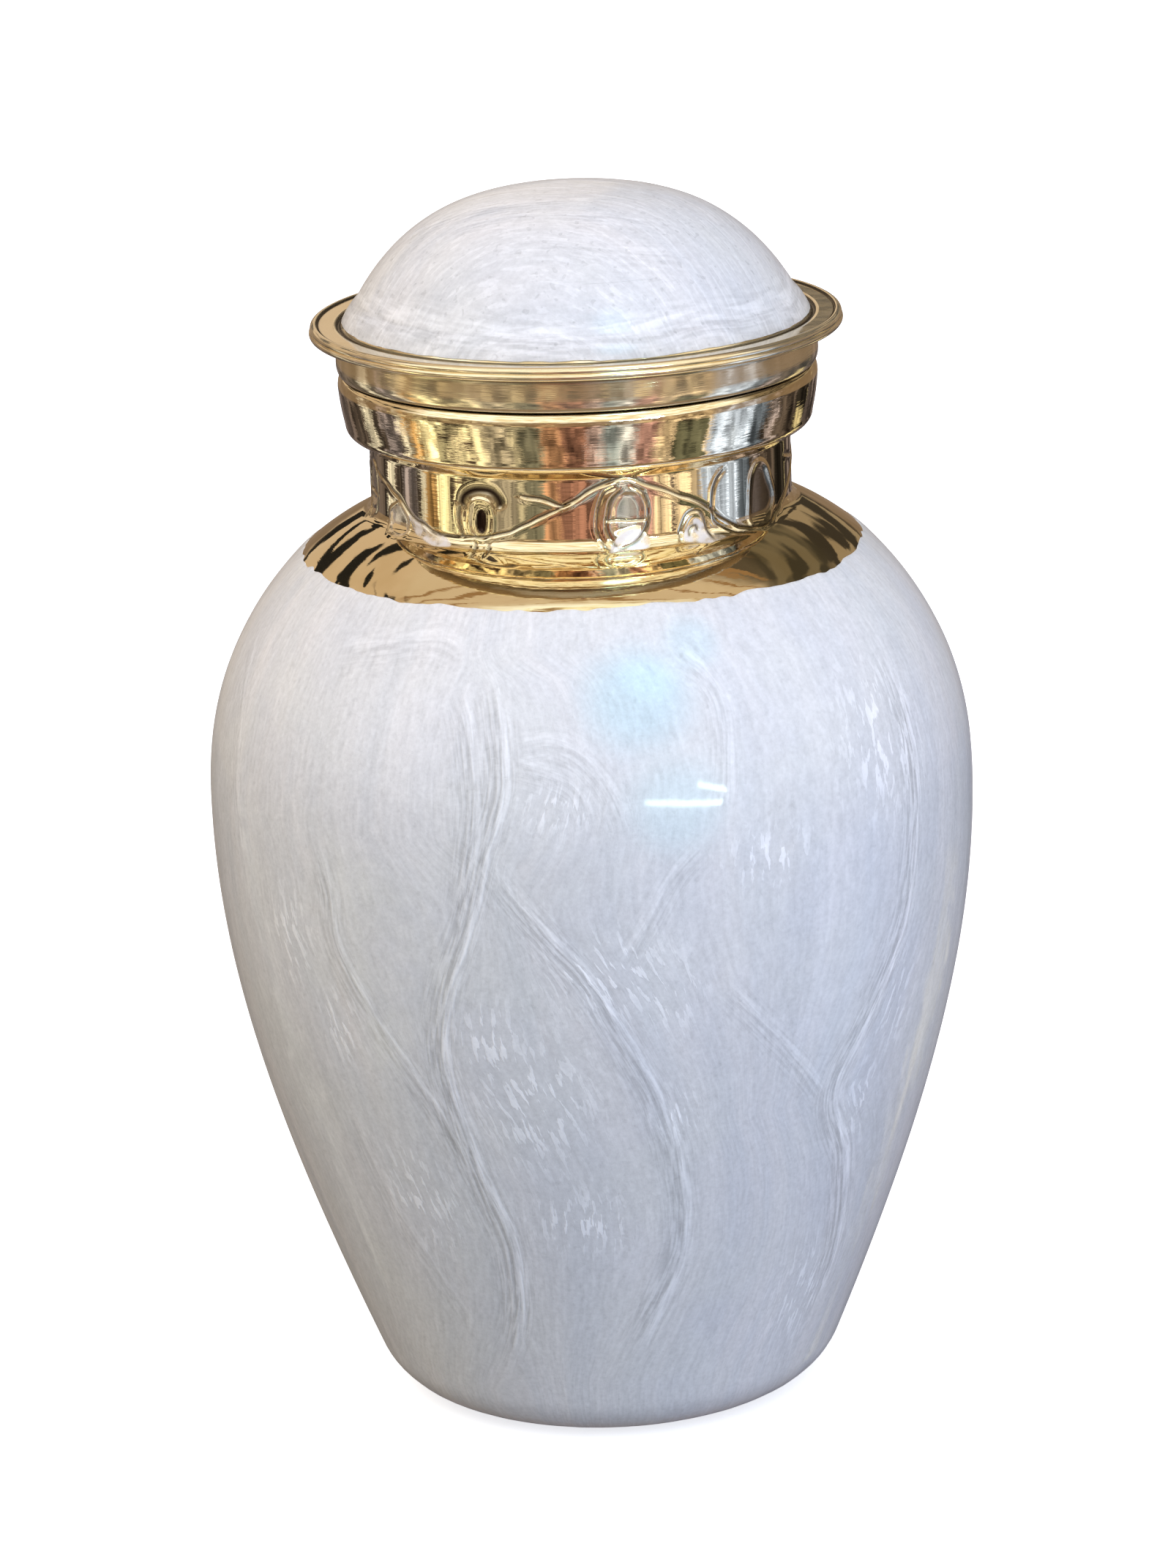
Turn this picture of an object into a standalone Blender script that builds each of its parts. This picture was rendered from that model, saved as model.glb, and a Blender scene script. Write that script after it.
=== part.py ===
"""Cremation urn: a hollow brass vessel, enamelled below and engraved on the neck, and its lift-off domed lid.

The vessel stands on its foot at z = 0 with its turning axis on Z, and its front faces -Y. Each piece is one
turned outline, which runs from the axis round the outside and back to the axis along the inside.
"""

import math

import bmesh
import bpy
from mathutils import Vector

MM = 0.001
SEGMENTS = 48
WALL = 1.8 * MM
SEAT_GAP = 0.3 * MM
SHARP_ANGLE = math.radians(32.0)

# Belly: its widest ring, the curve up to the shoulder and the taper down to the foot
BELLY_RADIUS = 79.5 * MM
BELLY_HEIGHT = 129.5 * MM
SHOULDER_RISE = 72.2 * MM
SHOULDER_FULLNESS = 2.244
TAPER_BEND = 48.9 * MM
TAPER_SLOPE = 0.52
PAINT_EDGE_RADIUS = 56.9 * MM

# Foot: a rounded corner, a flat ring to stand on and a shallow recess inside it
FOOT_ROUNDING = 16.0 * MM
FOOT_RING_WIDTH = 5.0 * MM
UNDERSIDE_RECESS = 1.5 * MM
FLOOR_THICKNESS = 2.2 * MM

# Neck with a fillet at its foot, and the bare ring that slopes from there out to the paint's edge
NECK_RADIUS = 43.2 * MM
NECK_BORE = 41.0 * MM
NECK_FOOT = 191.9 * MM
FOOT_FILLET = 3.2 * MM
FOOT_FILLET_TURN = 72.0
RING_BEND = (51.0 * MM, 186.6 * MM)

# Turned collar that carries the lid
COLLAR_BOTTOM = 205.9 * MM
COLLAR_TOP = 218.5 * MM
COLLAR_LOW_RADIUS = 47.9 * MM
COLLAR_HIGH_RADIUS = 49.1 * MM
COLLAR_ROUNDING = 2.2 * MM
COLLAR_FILLET = 2.2 * MM
COLLAR_BEAD = 1.4 * MM

# Lid: a skirt on the collar, a rolled lip, a dished flange and the dome with its rounded brim
SKIRT_RADIUS = 49.2 * MM
COVE_RADIUS = 2.6 * MM
LIP_TOP = 229.0 * MM
LIP_RADIUS = 54.5 * MM
LIP_LAND = 1.4 * MM
LIP_EDGE_ROUNDING = 0.9 * MM
LIP_UNDER_ROUNDING = 2.6 * MM
FLANGE_DIP = 0.5 * MM
BRIM_RADIUS = 47.9 * MM
BRIM_BOTTOM = 229.5 * MM
BRIM_BULGE = 0.25 * MM
DOME_RADIUS = 44.8 * MM
DOME_TOP = 254.9 * MM
DOME_SPREAD = 48.4 * MM
DOME_DEPTH = 31.0 * MM
DOME_FLATNESS = 2.9
DOME_FULLNESS = 1.35
WEB_THICKNESS = 2.2 * MM

# Round spigot under the lid, which slides into the neck
SPIGOT_CLEARANCE = 0.35 * MM
SPIGOT_LENGTH = 9.0 * MM
SPIGOT_WALL = 1.9 * MM

# Engraved vine round the neck: a wavy stem, and a leaf loop in each of its bends
VINE_WAVES = 4
VINE_MIDDLE = 198.0 * MM
VINE_HEIGHT = 5.4 * MM
VINE_START = math.radians(10.0)
STEM_STEPS = 16
LEAF_HALF_WIDTH = 3.7 * MM
LEAF_HALF_HEIGHT = 4.4 * MM
LEAF_STAND_OFF = 6.5 * MM
LEAF_STEPS = 12
GROOVE_RADIUS = 0.85 * MM
GROOVE_DEPTH = 0.5 * MM
GROOVE_SIDES = 6


def clear_scene():
    for obj in list(bpy.data.objects):
        bpy.data.objects.remove(obj, do_unlink=True)


def make_material(name, colour, roughness, metallic):
    material = bpy.data.materials.new(name)
    material.use_nodes = True
    shader = material.node_tree.nodes["Principled BSDF"]
    shader.inputs["Base Color"].default_value = (*colour, 1.0)
    shader.inputs["Roughness"].default_value = roughness
    shader.inputs["Metallic"].default_value = metallic
    return material


def arc(centre, radius, start, end, steps):
    """Points (r, z) on a circle in the turning plane, between two angles in degrees, both ends included."""
    points = []
    for step in range(steps + 1):
        angle = math.radians(start + (end - start) * step / steps)
        points.append((centre[0] + radius * math.cos(angle), centre[1] + radius * math.sin(angle)))
    return points


def spread(start, end, steps):
    return [start + (end - start) * step / steps for step in range(steps)]


def belly_radius(z):
    """Outer radius: a full curve above the widest ring, and below it a hyperbola that straightens out."""
    if z > BELLY_HEIGHT:
        return BELLY_RADIUS * math.sqrt(1.0 - ((z - BELLY_HEIGHT) / SHOULDER_RISE) ** SHOULDER_FULLNESS)
    return BELLY_RADIUS + TAPER_BEND - math.hypot(TAPER_BEND, TAPER_SLOPE * (BELLY_HEIGHT - z))


def shoulder_height(radius):
    share = 1.0 - (radius / BELLY_RADIUS) ** 2
    return BELLY_HEIGHT + SHOULDER_RISE * share ** (1.0 / SHOULDER_FULLNESS)


def inward(z, depth):
    """The point this deep inside the belly's surface, measured square to it from height z."""
    step = 0.05 * MM
    along = Vector((belly_radius(z + step) - belly_radius(z - step), 2.0 * step)).normalized()
    return belly_radius(z) - depth * along.y, z + depth * along.x


def foot_corner():
    """Centre of the foot's rounded corner, and the height at which the corner runs into the taper."""
    meeting = 0.5 * FOOT_ROUNDING
    for _ in range(20):
        centre = inward(meeting, FOOT_ROUNDING)
        meeting += FOOT_ROUNDING - centre[1]
    return (centre[0], FOOT_ROUNDING), meeting


def foot_fillet(steps):
    """From the bare ring up round the fillet to the neck's straight wall."""
    centre = (NECK_RADIUS + FOOT_FILLET, NECK_FOOT)
    return arc(centre, FOOT_FILLET, 180.0 + FOOT_FILLET_TURN, 180.0, steps)


def ring_outline(depth, steps):
    """The bare ring from the paint's edge in to the neck's fillet, this deep inside its surface."""
    edge = Vector((PAINT_EDGE_RADIUS, shoulder_height(PAINT_EDGE_RADIUS)))
    bend = Vector(RING_BEND)
    end = Vector(foot_fillet(1)[0])
    points = []
    for step in range(steps + 1):
        share = step / steps
        first = edge.lerp(bend, share)
        second = bend.lerp(end, share)
        along = (second - first).normalized()
        point = first.lerp(second, share)
        points.append((point.x - depth * along.y, point.y + depth * along.x))
    return points


def belly_outline(depth, taper_steps, shoulder_steps, ring_steps):
    """The belly from the foot's corner up to the neck's fillet, this deep inside its surface."""
    _, low = foot_corner()
    edge = shoulder_height(PAINT_EDGE_RADIUS)
    heights = spread(low, BELLY_HEIGHT, taper_steps)
    for turn in spread(0.0, 0.5 * math.pi, shoulder_steps):
        heights.append(BELLY_HEIGHT + (edge - BELLY_HEIGHT) * math.sin(turn))
    return [inward(z, depth) for z in heights] + ring_outline(depth, ring_steps)


def vessel_outline():
    corner, meeting = foot_corner()
    lean = math.degrees(math.asin((meeting - FOOT_ROUNDING) / FOOT_ROUNDING))
    ring = corner[0] - FOOT_RING_WIDTH
    outer = [(0.0, UNDERSIDE_RECESS), (ring - UNDERSIDE_RECESS, UNDERSIDE_RECESS), (ring, 0.0)]
    outer += arc(corner, FOOT_ROUNDING, -90.0, lean, 4)[:-1]
    outer += belly_outline(0.0, 7, 6, 3)
    outer += foot_fillet(2)[1:]
    under_fillet = (NECK_RADIUS + COLLAR_FILLET, COLLAR_BOTTOM - COLLAR_FILLET)
    outer += arc(under_fillet, COLLAR_FILLET, 180.0, 90.0, 2)
    underside = (COLLAR_LOW_RADIUS - COLLAR_ROUNDING, COLLAR_BOTTOM + COLLAR_ROUNDING)
    outer += arc(underside, COLLAR_ROUNDING, -90.0, 0.0, 3)
    outer += arc((COLLAR_HIGH_RADIUS - COLLAR_BEAD, COLLAR_TOP - COLLAR_BEAD), COLLAR_BEAD, 0.0, 90.0, 2)
    outer += [(NECK_BORE, COLLAR_TOP)]

    floor = UNDERSIDE_RECESS + FLOOR_THICKNESS
    floor_corner = arc(corner, FOOT_ROUNDING - WALL, -55.0, lean, 2)[:-1]
    inner = [(0.0, floor), (floor_corner[0][0] - 3.0 * WALL, floor)] + floor_corner
    inner += belly_outline(WALL, 4, 5, 2)
    return outer + [(NECK_BORE, inner[-1][1] + WALL)] + inner[::-1]


def dome_outline(depth, steps):
    """The flat-topped dome from the axis out to its edge, this deep below its surface."""
    points = []
    for step in range(steps + 1):
        radius = DOME_RADIUS * math.sin(0.5 * math.pi * step / steps)
        share = 1.0 - (radius / DOME_SPREAD) ** DOME_FLATNESS
        z = DOME_TOP - DOME_DEPTH + DOME_DEPTH * share ** (1.0 / DOME_FULLNESS)
        points.append((radius * (1.0 - depth / DOME_RADIUS), z - depth))
    return points


def brim_outline(edge):
    """The brim bulges a little on its way from the dome's edge down to the bare brass."""
    points = []
    for share in (0.4, 0.75, 1.0):
        bulge = BRIM_BULGE * math.sin(math.pi * share)
        radius = edge[0] + (BRIM_RADIUS - edge[0]) * share
        points.append((radius + bulge, edge[1] + (BRIM_BOTTOM - edge[1]) * share + bulge))
    return points


def lid_outline():
    skirt_bottom = COLLAR_TOP + SEAT_GAP
    spigot_outer = NECK_BORE - SPIGOT_CLEARANCE
    spigot_inner = spigot_outer - SPIGOT_WALL
    spigot_end = COLLAR_TOP - SPIGOT_LENGTH
    flange = LIP_TOP - FLANGE_DIP
    lip_height = LIP_TOP - LIP_EDGE_ROUNDING
    lip_edge = (LIP_RADIUS - LIP_EDGE_ROUNDING, lip_height)
    lip_under = (LIP_RADIUS - LIP_UNDER_ROUNDING, lip_height)
    cove = (SKIRT_RADIUS + COVE_RADIUS, lip_height - LIP_UNDER_ROUNDING - COVE_RADIUS)

    outer = dome_outline(0.0, 7)
    outer += brim_outline(outer[-1])
    outer += [(BRIM_RADIUS, flange), (LIP_RADIUS - 2.0 * LIP_LAND, flange - 0.5 * FLANGE_DIP)]
    outer += [(LIP_RADIUS - LIP_LAND, flange + 0.5 * FLANGE_DIP)]
    outer += arc(lip_edge, LIP_EDGE_ROUNDING, 80.0, 20.0, 1)
    outer += arc(lip_under, LIP_UNDER_ROUNDING, 0.0, -75.0, 3)
    outer += arc(cove, COVE_RADIUS, 100.0, 180.0, 3)[1:]
    outer += [(SKIRT_RADIUS, skirt_bottom), (spigot_outer, skirt_bottom)]
    outer += [(spigot_outer, spigot_end), (spigot_inner, spigot_end)]

    web_top = skirt_bottom + WEB_THICKNESS
    room = SKIRT_RADIUS - WALL
    inner = [(spigot_inner, web_top), (room, web_top), (room, cove[1])]
    inner += [(DOME_RADIUS, flange)]
    return outer + inner + dome_outline(WALL, 5)[::-1]


def turned_piece(name, outline, material):
    """Spins an outline that starts and ends on the axis into one closed solid."""
    mesh = bpy.data.meshes.new(name)
    bm = bmesh.new()
    verts = [bm.verts.new((max(radius, 0.0), 0.0, z)) for radius, z in outline]
    edges = [bm.edges.new(pair) for pair in zip(verts, verts[1:])]
    bmesh.ops.spin(
        bm,
        geom=verts + edges,
        cent=(0.0, 0.0, 0.0),
        axis=(0.0, 0.0, 1.0),
        angle=2.0 * math.pi,
        steps=SEGMENTS,
        use_merge=True,
    )
    bmesh.ops.remove_doubles(bm, verts=bm.verts, dist=0.01 * MM)
    bmesh.ops.recalc_face_normals(bm, faces=bm.faces)
    bm.to_mesh(mesh)
    bm.free()
    mesh.materials.append(material)
    mesh.shade_smooth()
    mesh.set_sharp_from_angle(angle=SHARP_ANGLE)
    obj = bpy.data.objects.new(name, mesh)
    bpy.context.collection.objects.link(obj)
    return obj


def paint(obj, material, lowest, highest, reach):
    """Gives the coat to the faces that look away from the axis, between two heights and within a radius."""
    obj.data.materials.append(material)
    for face in obj.data.polygons:
        outwards = face.normal.xy.dot(face.center.xy) > 0.0
        if outwards and lowest < face.center.z < highest and face.center.xy.length < reach:
            face.material_index = 1


def on_neck(angle, z, lift):
    """A point lifted off the neck's wall. Angle 0 is the front."""
    radius = NECK_RADIUS + lift
    return Vector((radius * math.sin(angle), -radius * math.cos(angle), z))


def add_cutting_ring(bm, line):
    """A closed bar of even section along a loop of (angle, z) points on the neck."""
    lift = GROOVE_RADIUS - GROOVE_DEPTH
    count = len(line)
    rings = []
    for index, (angle, z) in enumerate(line):
        along = on_neck(*line[(index + 1) % count], lift) - on_neck(*line[index - 1], lift)
        out = Vector((math.sin(angle), -math.cos(angle), 0.0))
        across = along.cross(out).normalized()
        ring = []
        for side in range(GROOVE_SIDES):
            turn = 2.0 * math.pi * (side + 0.5) / GROOVE_SIDES
            offset = GROOVE_RADIUS * (out * math.cos(turn) + across * math.sin(turn))
            ring.append(bm.verts.new(on_neck(angle, z, lift) + offset))
        rings.append(ring)
    for index, ring in enumerate(rings):
        following = rings[(index + 1) % count]
        for side in range(GROOVE_SIDES):
            other = (side + 1) % GROOVE_SIDES
            bm.faces.new((ring[side], ring[other], following[other], following[side]))


def stem_line():
    points = []
    for angle in spread(0.0, 2.0 * math.pi, STEM_STEPS * VINE_WAVES):
        points.append((angle, VINE_MIDDLE + VINE_HEIGHT * math.cos(VINE_WAVES * (angle - VINE_START))))
    return points


def leaf_line(angle, z):
    points = []
    for turn in spread(0.0, 2.0 * math.pi, LEAF_STEPS):
        side = LEAF_HALF_WIDTH * math.sin(turn) / NECK_RADIUS
        points.append((angle + side, z + LEAF_HALF_HEIGHT * math.cos(turn)))
    return points


def leaf_lines():
    """One loop under each high bend of the stem, and one over each low bend."""
    lines = []
    for bend in range(2 * VINE_WAVES):
        side = 1.0 if bend % 2 == 0 else -1.0
        angle = VINE_START + math.pi * bend / VINE_WAVES
        lines.append(leaf_line(angle, VINE_MIDDLE + side * (VINE_HEIGHT - LEAF_STAND_OFF)))
    return lines


def engrave(piece, name, lines):
    """Cuts shallow grooves along these loops."""
    mesh = bpy.data.meshes.new(name)
    bm = bmesh.new()
    for line in lines:
        add_cutting_ring(bm, line)
    bmesh.ops.recalc_face_normals(bm, faces=bm.faces)
    bm.to_mesh(mesh)
    bm.free()
    cutter = bpy.data.objects.new(name, mesh)
    bpy.context.collection.objects.link(cutter)
    cutter.hide_render = True
    cutter.display_type = "WIRE"
    boolean = piece.modifiers.new(name, "BOOLEAN")
    boolean.operation = "DIFFERENCE"
    boolean.solver = "EXACT"
    boolean.object = cutter


def main():
    clear_scene()
    brass = make_material("polished_brass", (0.83, 0.62, 0.30), 0.16, 1.0)
    enamel = make_material("pearl_enamel", (0.80, 0.79, 0.81), 0.32, 0.0)

    body = turned_piece("urn_body", vessel_outline(), brass)
    paint(body, enamel, 0.0, shoulder_height(PAINT_EDGE_RADIUS), BELLY_RADIUS)
    engrave(body, "vine_stem_cutter", [stem_line()])
    engrave(body, "vine_leaf_cutter", leaf_lines())

    lid = turned_piece("urn_lid", lid_outline(), brass)
    paint(lid, enamel, BRIM_BOTTOM, DOME_TOP, BRIM_RADIUS)


main()
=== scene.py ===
"""Looks of the cremation urn: turned brass vessel and lid, engraved neck and two coats of pearl enamel."""

import math

import bpy
import numpy as np
from mathutils import Matrix


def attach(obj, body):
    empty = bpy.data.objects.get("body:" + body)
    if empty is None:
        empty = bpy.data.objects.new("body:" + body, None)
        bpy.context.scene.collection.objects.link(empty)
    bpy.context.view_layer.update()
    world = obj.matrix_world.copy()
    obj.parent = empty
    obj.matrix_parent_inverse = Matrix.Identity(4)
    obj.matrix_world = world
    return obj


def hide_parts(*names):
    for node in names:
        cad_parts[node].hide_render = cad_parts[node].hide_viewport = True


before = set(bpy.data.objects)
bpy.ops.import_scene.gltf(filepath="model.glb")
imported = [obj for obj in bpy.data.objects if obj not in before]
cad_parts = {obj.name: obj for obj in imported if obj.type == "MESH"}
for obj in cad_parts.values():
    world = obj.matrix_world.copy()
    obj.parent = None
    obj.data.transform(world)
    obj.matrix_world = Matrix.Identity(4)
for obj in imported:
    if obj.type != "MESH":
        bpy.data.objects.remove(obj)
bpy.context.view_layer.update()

MM = 0.001

# The turned outline, in millimetres, as the part's source has it
BELLY_RADIUS = 79.5
BELLY_HEIGHT = 129.5
SHOULDER_RISE = 72.2
SHOULDER_FULLNESS = 2.244
TAPER_BEND = 48.9
TAPER_SLOPE = 0.52
PAINT_EDGE_RADIUS = 56.9
FOOT_ROUNDING = 16.0
FOOT_RING_WIDTH = 5.0
UNDERSIDE_RECESS = 1.5
FLOOR_THICKNESS = 2.2
WALL = 1.8
NECK_RADIUS = 43.2
NECK_BORE = 41.0
NECK_FOOT = 191.9
FOOT_FILLET = 3.2
FOOT_FILLET_TURN = 72.0
RING_BEND = (51.0, 186.6)
COLLAR_BOTTOM = 205.9
COLLAR_TOP = 218.5
COLLAR_LOW_RADIUS = 47.9
COLLAR_HIGH_RADIUS = 49.1
COLLAR_ROUNDING = 2.2
COLLAR_FILLET = 2.2
SEAT_GAP = 0.3
SKIRT_RADIUS = 49.2
LIP_TOP = 229.0
LIP_RADIUS = 54.5
LIP_LAND = 1.4
LIP_EDGE_ROUNDING = 0.9
FLANGE_DIP = 0.5
BRIM_RADIUS = 47.9
BRIM_BOTTOM = 229.5
BRIM_BULGE = 0.25
DOME_RADIUS = 44.8
DOME_TOP = 254.9
DOME_SPREAD = 48.4
DOME_DEPTH = 31.0
DOME_FLATNESS = 2.9
DOME_FULLNESS = 1.35
WEB_THICKNESS = 2.2
SPIGOT_CLEARANCE = 0.35
SPIGOT_LENGTH = 9.0
SPIGOT_WALL = 1.9

SKIRT_BOTTOM = COLLAR_TOP + SEAT_GAP
FLANGE = LIP_TOP - FLANGE_DIP

# Finer forms that the source has simpler or not at all, in millimetres
COLLAR_BARREL = 0.15
BEAD_WIDTH = 1.0
BEAD_HEIGHT = 2.6
SKIRT_ROUNDING = 0.7
SKIRT_TUCK = 2.2
SKIRT_FLARE = 0.2
COVE_RADIUS = 1.5
LIP_SETBACK = 0.25
LIP_ROLL = 0.85
LIP_ROLL_HEIGHT = 227.05
LIP_UNDERSIDE = 226.1
FLANGE_STEP = 0.05
CREVICE = 0.55
GROOVE = 0.6
BRIM_REACH = 0.8
EDGE_BREAK = 0.3
FOOT_BREAK = 0.4
RECESS_EDGE = 1.9
NECK_MIDDLE = 199.0
# Where the foot's rounding ends towards the floor, in degrees: the coat, and the brass outside and inside
COAT_END = -86.0
FOOT_OUTSIDE = -82.0
FOOT_INSIDE = -55.0

# In millimetres: how deep the brass lies below the enamel and the engraved sleeve, how far the sleeve goes
# in under the paint and the collar, how deep its engraved part reaches, and how thick both are
UNDER_COAT = 0.5
UNDER_SLEEVE = 0.75
UNDER_DOME = 0.4
UNDER_BRIM = 0.45
PAINT_UNDERLAP = 2.2
SLEEVE_THICKNESS = 0.55
SLEEVE_TUCK = (0.3, 0.25)
SLEEVE_ENGRAVED = 17.5
COAT = 0.45

# Points round the axis
LATHE_COLUMNS = 256
SLEEVE_COLUMNS = 840
COAT_COLUMNS = 560
DOME_COLUMNS = 400

# Edges that turn more than this many degrees stay sharp
SHARP_TURNING = 28.0
SHARP_DOME = 40.0
SHARP_SLEEVE = 50.0

# The belly's way round and a degree of it, and a degree round the neck, in millimetres
BELLY_ROUND = 2.0 * math.pi * BELLY_RADIUS
BELLY_DEGREE = BELLY_ROUND / 360.0
NECK_DEGREE = math.radians(1.0) * NECK_RADIUS


# Turned outlines


def oval_arc(centre, wide, tall, start, end, steps):
    """Points round an oval from one turn to another, in degrees."""
    turn = np.radians(np.linspace(start, end, steps + 1))
    return np.column_stack((centre[0] + wide * np.cos(turn), centre[1] + tall * np.sin(turn)))


def arc(centre, radius, start, end, steps):
    return oval_arc(centre, radius, radius, start, end, steps)


def through(start, *legs):
    """Values from the start in even steps, by legs of an end and a count that includes both ends."""
    made = [np.array([start])]
    for end, count in legs:
        made.append(np.linspace(made[-1][-1], end, count)[1:])
    return np.concatenate(made)


def belly_radius(z):
    rise = np.clip((z - BELLY_HEIGHT) / SHOULDER_RISE, 0.0, 1.0)
    upper = BELLY_RADIUS * np.sqrt(np.clip(1.0 - rise**SHOULDER_FULLNESS, 0.0, None))
    lower = BELLY_RADIUS + TAPER_BEND - np.hypot(TAPER_BEND, TAPER_SLOPE * (BELLY_HEIGHT - z))
    return np.where(z > BELLY_HEIGHT, upper, lower)


def shoulder_height(radius):
    share = 1.0 - (radius / BELLY_RADIUS) ** 2
    return BELLY_HEIGHT + SHOULDER_RISE * share ** (1.0 / SHOULDER_FULLNESS)


PAINT_EDGE_HEIGHT = shoulder_height(PAINT_EDGE_RADIUS)


def inward(z, depth):
    """Points this deep inside the belly's surface, measured square to it from heights z."""
    step = 0.05
    lean = (belly_radius(z + step) - belly_radius(z - step)) / (2.0 * step)
    long = np.hypot(lean, 1.0)
    return np.column_stack((belly_radius(z) - depth / long, z + depth * lean / long))


def foot_corner():
    """The middle of the foot's rounding, the height where it meets the belly, and its turn there."""
    meeting = 0.5 * FOOT_ROUNDING
    for _ in range(20):
        middle = inward(np.array([meeting]), FOOT_ROUNDING)[0]
        meeting += FOOT_ROUNDING - middle[1]
    turn = math.degrees(math.asin((meeting - FOOT_ROUNDING) / FOOT_ROUNDING))
    return (middle[0], FOOT_ROUNDING), meeting, turn


def foot_fillet(steps, depth=0.0):
    """From the neck's straight wall down round the fillet to the bare ring, this deep in the metal."""
    centre = (NECK_RADIUS + FOOT_FILLET, NECK_FOOT)
    return arc(centre, FOOT_FILLET + depth, 180.0, 180.0 + FOOT_FILLET_TURN, steps)


def ring_outline(steps):
    """The bare ring from the neck's fillet out to the paint's edge."""
    share = np.linspace(0.0, 1.0, steps + 1)[:, None]
    bend = np.array(RING_BEND)
    edge = np.array((PAINT_EDGE_RADIUS, PAINT_EDGE_HEIGHT))
    return foot_fillet(1)[-1] * (1.0 - share) ** 2 + bend * 2.0 * share * (1.0 - share) + edge * share**2


def normals(outline):
    """Unit ways to the outline's left, which is outwards where it runs down the outside."""
    along = np.gradient(outline, axis=0)
    along /= np.linalg.norm(along, axis=1)[:, None]
    return np.column_stack((-along[:, 1], along[:, 0]))


def offset(outline, depth):
    return outline + normals(outline) * depth


def lengths(outline):
    """How far along the outline each of its points is."""
    return np.concatenate(([0.0], np.cumsum(np.hypot(*np.diff(outline, axis=0).T))))


def at_length(outline, at, values):
    """What these values of the outline's points are this far along it."""
    length = lengths(outline)
    return np.stack([np.interp(at, length, column) for column in values.T], axis=-1)


def coated_outline():
    """The belly's outer surface from the edge of the paint on the shoulder down to the foot ring."""
    corner, meeting, turn = foot_corner()
    heights = through(PAINT_EDGE_HEIGHT, (BELLY_HEIGHT, 200), (meeting, 300))
    belly = np.column_stack((belly_radius(heights), heights))
    return np.vstack((belly, arc(corner, FOOT_ROUNDING, turn, COAT_END, 60)[1:]))


def neck_outline():
    """From under the collar down the neck, round the fillet and across the bare ring to under the paint."""
    under = (NECK_RADIUS + COLLAR_FILLET, COLLAR_BOTTOM - COLLAR_FILLET)
    collar = (COLLAR_LOW_RADIUS - COLLAR_ROUNDING, COLLAR_BOTTOM)
    beyond = np.linspace(PAINT_EDGE_RADIUS, PAINT_EDGE_RADIUS + PAINT_UNDERLAP, 12)[1:]
    return np.vstack((
        [np.add(collar, SLEEVE_TUCK), collar],
        arc(under, COLLAR_FILLET, 90.0, 180.0, 12),
        np.linspace((NECK_RADIUS, under[1]), (NECK_RADIUS, NECK_FOOT), 60)[1:],
        foot_fillet(16)[1:],
        ring_outline(60)[1:],
        np.column_stack((beyond, shoulder_height(beyond))),
    ))


def collar_side(steps):
    """The collar's leaning, slightly barrelled side between its lower rounding and the bead."""
    low = np.array((COLLAR_LOW_RADIUS, COLLAR_BOTTOM + COLLAR_ROUNDING))
    brow = np.array((COLLAR_HIGH_RADIUS, COLLAR_TOP - BEAD_HEIGHT))
    rise = np.linspace(0.0, 1.0, steps + 1)[1:-1]
    side = low + (brow - low) * rise[:, None]
    side[:, 0] += COLLAR_BARREL * np.sin(math.pi * rise)
    return side


def vessel_outline():
    """The brass wall, with its outer side a little inside the coat and the engraved sleeve."""
    corner, meeting, turn = foot_corner()
    foot = corner[0]
    ring = foot - FOOT_RING_WIDTH
    recess = ring - RECESS_EDGE
    neck = NECK_RADIUS - UNDER_SLEEVE
    under = (COLLAR_LOW_RADIUS - COLLAR_ROUNDING, COLLAR_BOTTOM + COLLAR_ROUNDING)
    bead = (COLLAR_HIGH_RADIUS - BEAD_WIDTH, COLLAR_TOP - BEAD_HEIGHT)
    inner_ring = offset(ring_outline(12), -WALL)
    floor = UNDERSIDE_RECESS + FLOOR_THICKNESS
    return np.vstack((
        [(0.0, UNDERSIDE_RECESS)],
        np.linspace((2.0, UNDERSIDE_RECESS), (recess, UNDERSIDE_RECESS), 14),
        arc((recess, UNDERSIDE_RECESS - FOOT_BREAK), FOOT_BREAK, 90.0, 45.0, 3)[1:],
        [(ring - 0.3, 0.12), (ring, 0.0), (foot, 0.0), (foot + 1.0, 0.03), (foot + 1.6, 0.5)],
        arc(corner, FOOT_ROUNDING - UNDER_COAT, FOOT_OUTSIDE, turn, 16),
        inward(through(meeting, (BELLY_HEIGHT, 40), (PAINT_EDGE_HEIGHT - 3.0, 40)), UNDER_COAT)[1:],
        offset(ring_outline(12), -UNDER_SLEEVE)[::-1],
        foot_fillet(6, UNDER_SLEEVE)[-2::-1],
        [(neck, NECK_MIDDLE), (neck, COLLAR_BOTTOM), (under[0] - 0.5, COLLAR_BOTTOM)],
        arc(under, COLLAR_ROUNDING, -90.0, 0.0, 12),
        collar_side(13),
        oval_arc(bead, BEAD_WIDTH, BEAD_HEIGHT, 0.0, 90.0, 16),
        [(NECK_BORE + EDGE_BREAK, COLLAR_TOP), (NECK_BORE, COLLAR_TOP - EDGE_BREAK)],
        np.linspace((NECK_BORE, COLLAR_TOP - 2.0), (NECK_BORE, inner_ring[0][1] + WALL), 12),
        inner_ring,
        inward(through(PAINT_EDGE_HEIGHT, (BELLY_HEIGHT, 40), (meeting, 40)), WALL)[1:],
        arc(corner, FOOT_ROUNDING - WALL, turn, FOOT_INSIDE, 10)[1:],
        [(radius, floor) for radius in (foot + 3.0, foot - 4.0, 18.0, 8.0, 0.0)],
    ))


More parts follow.
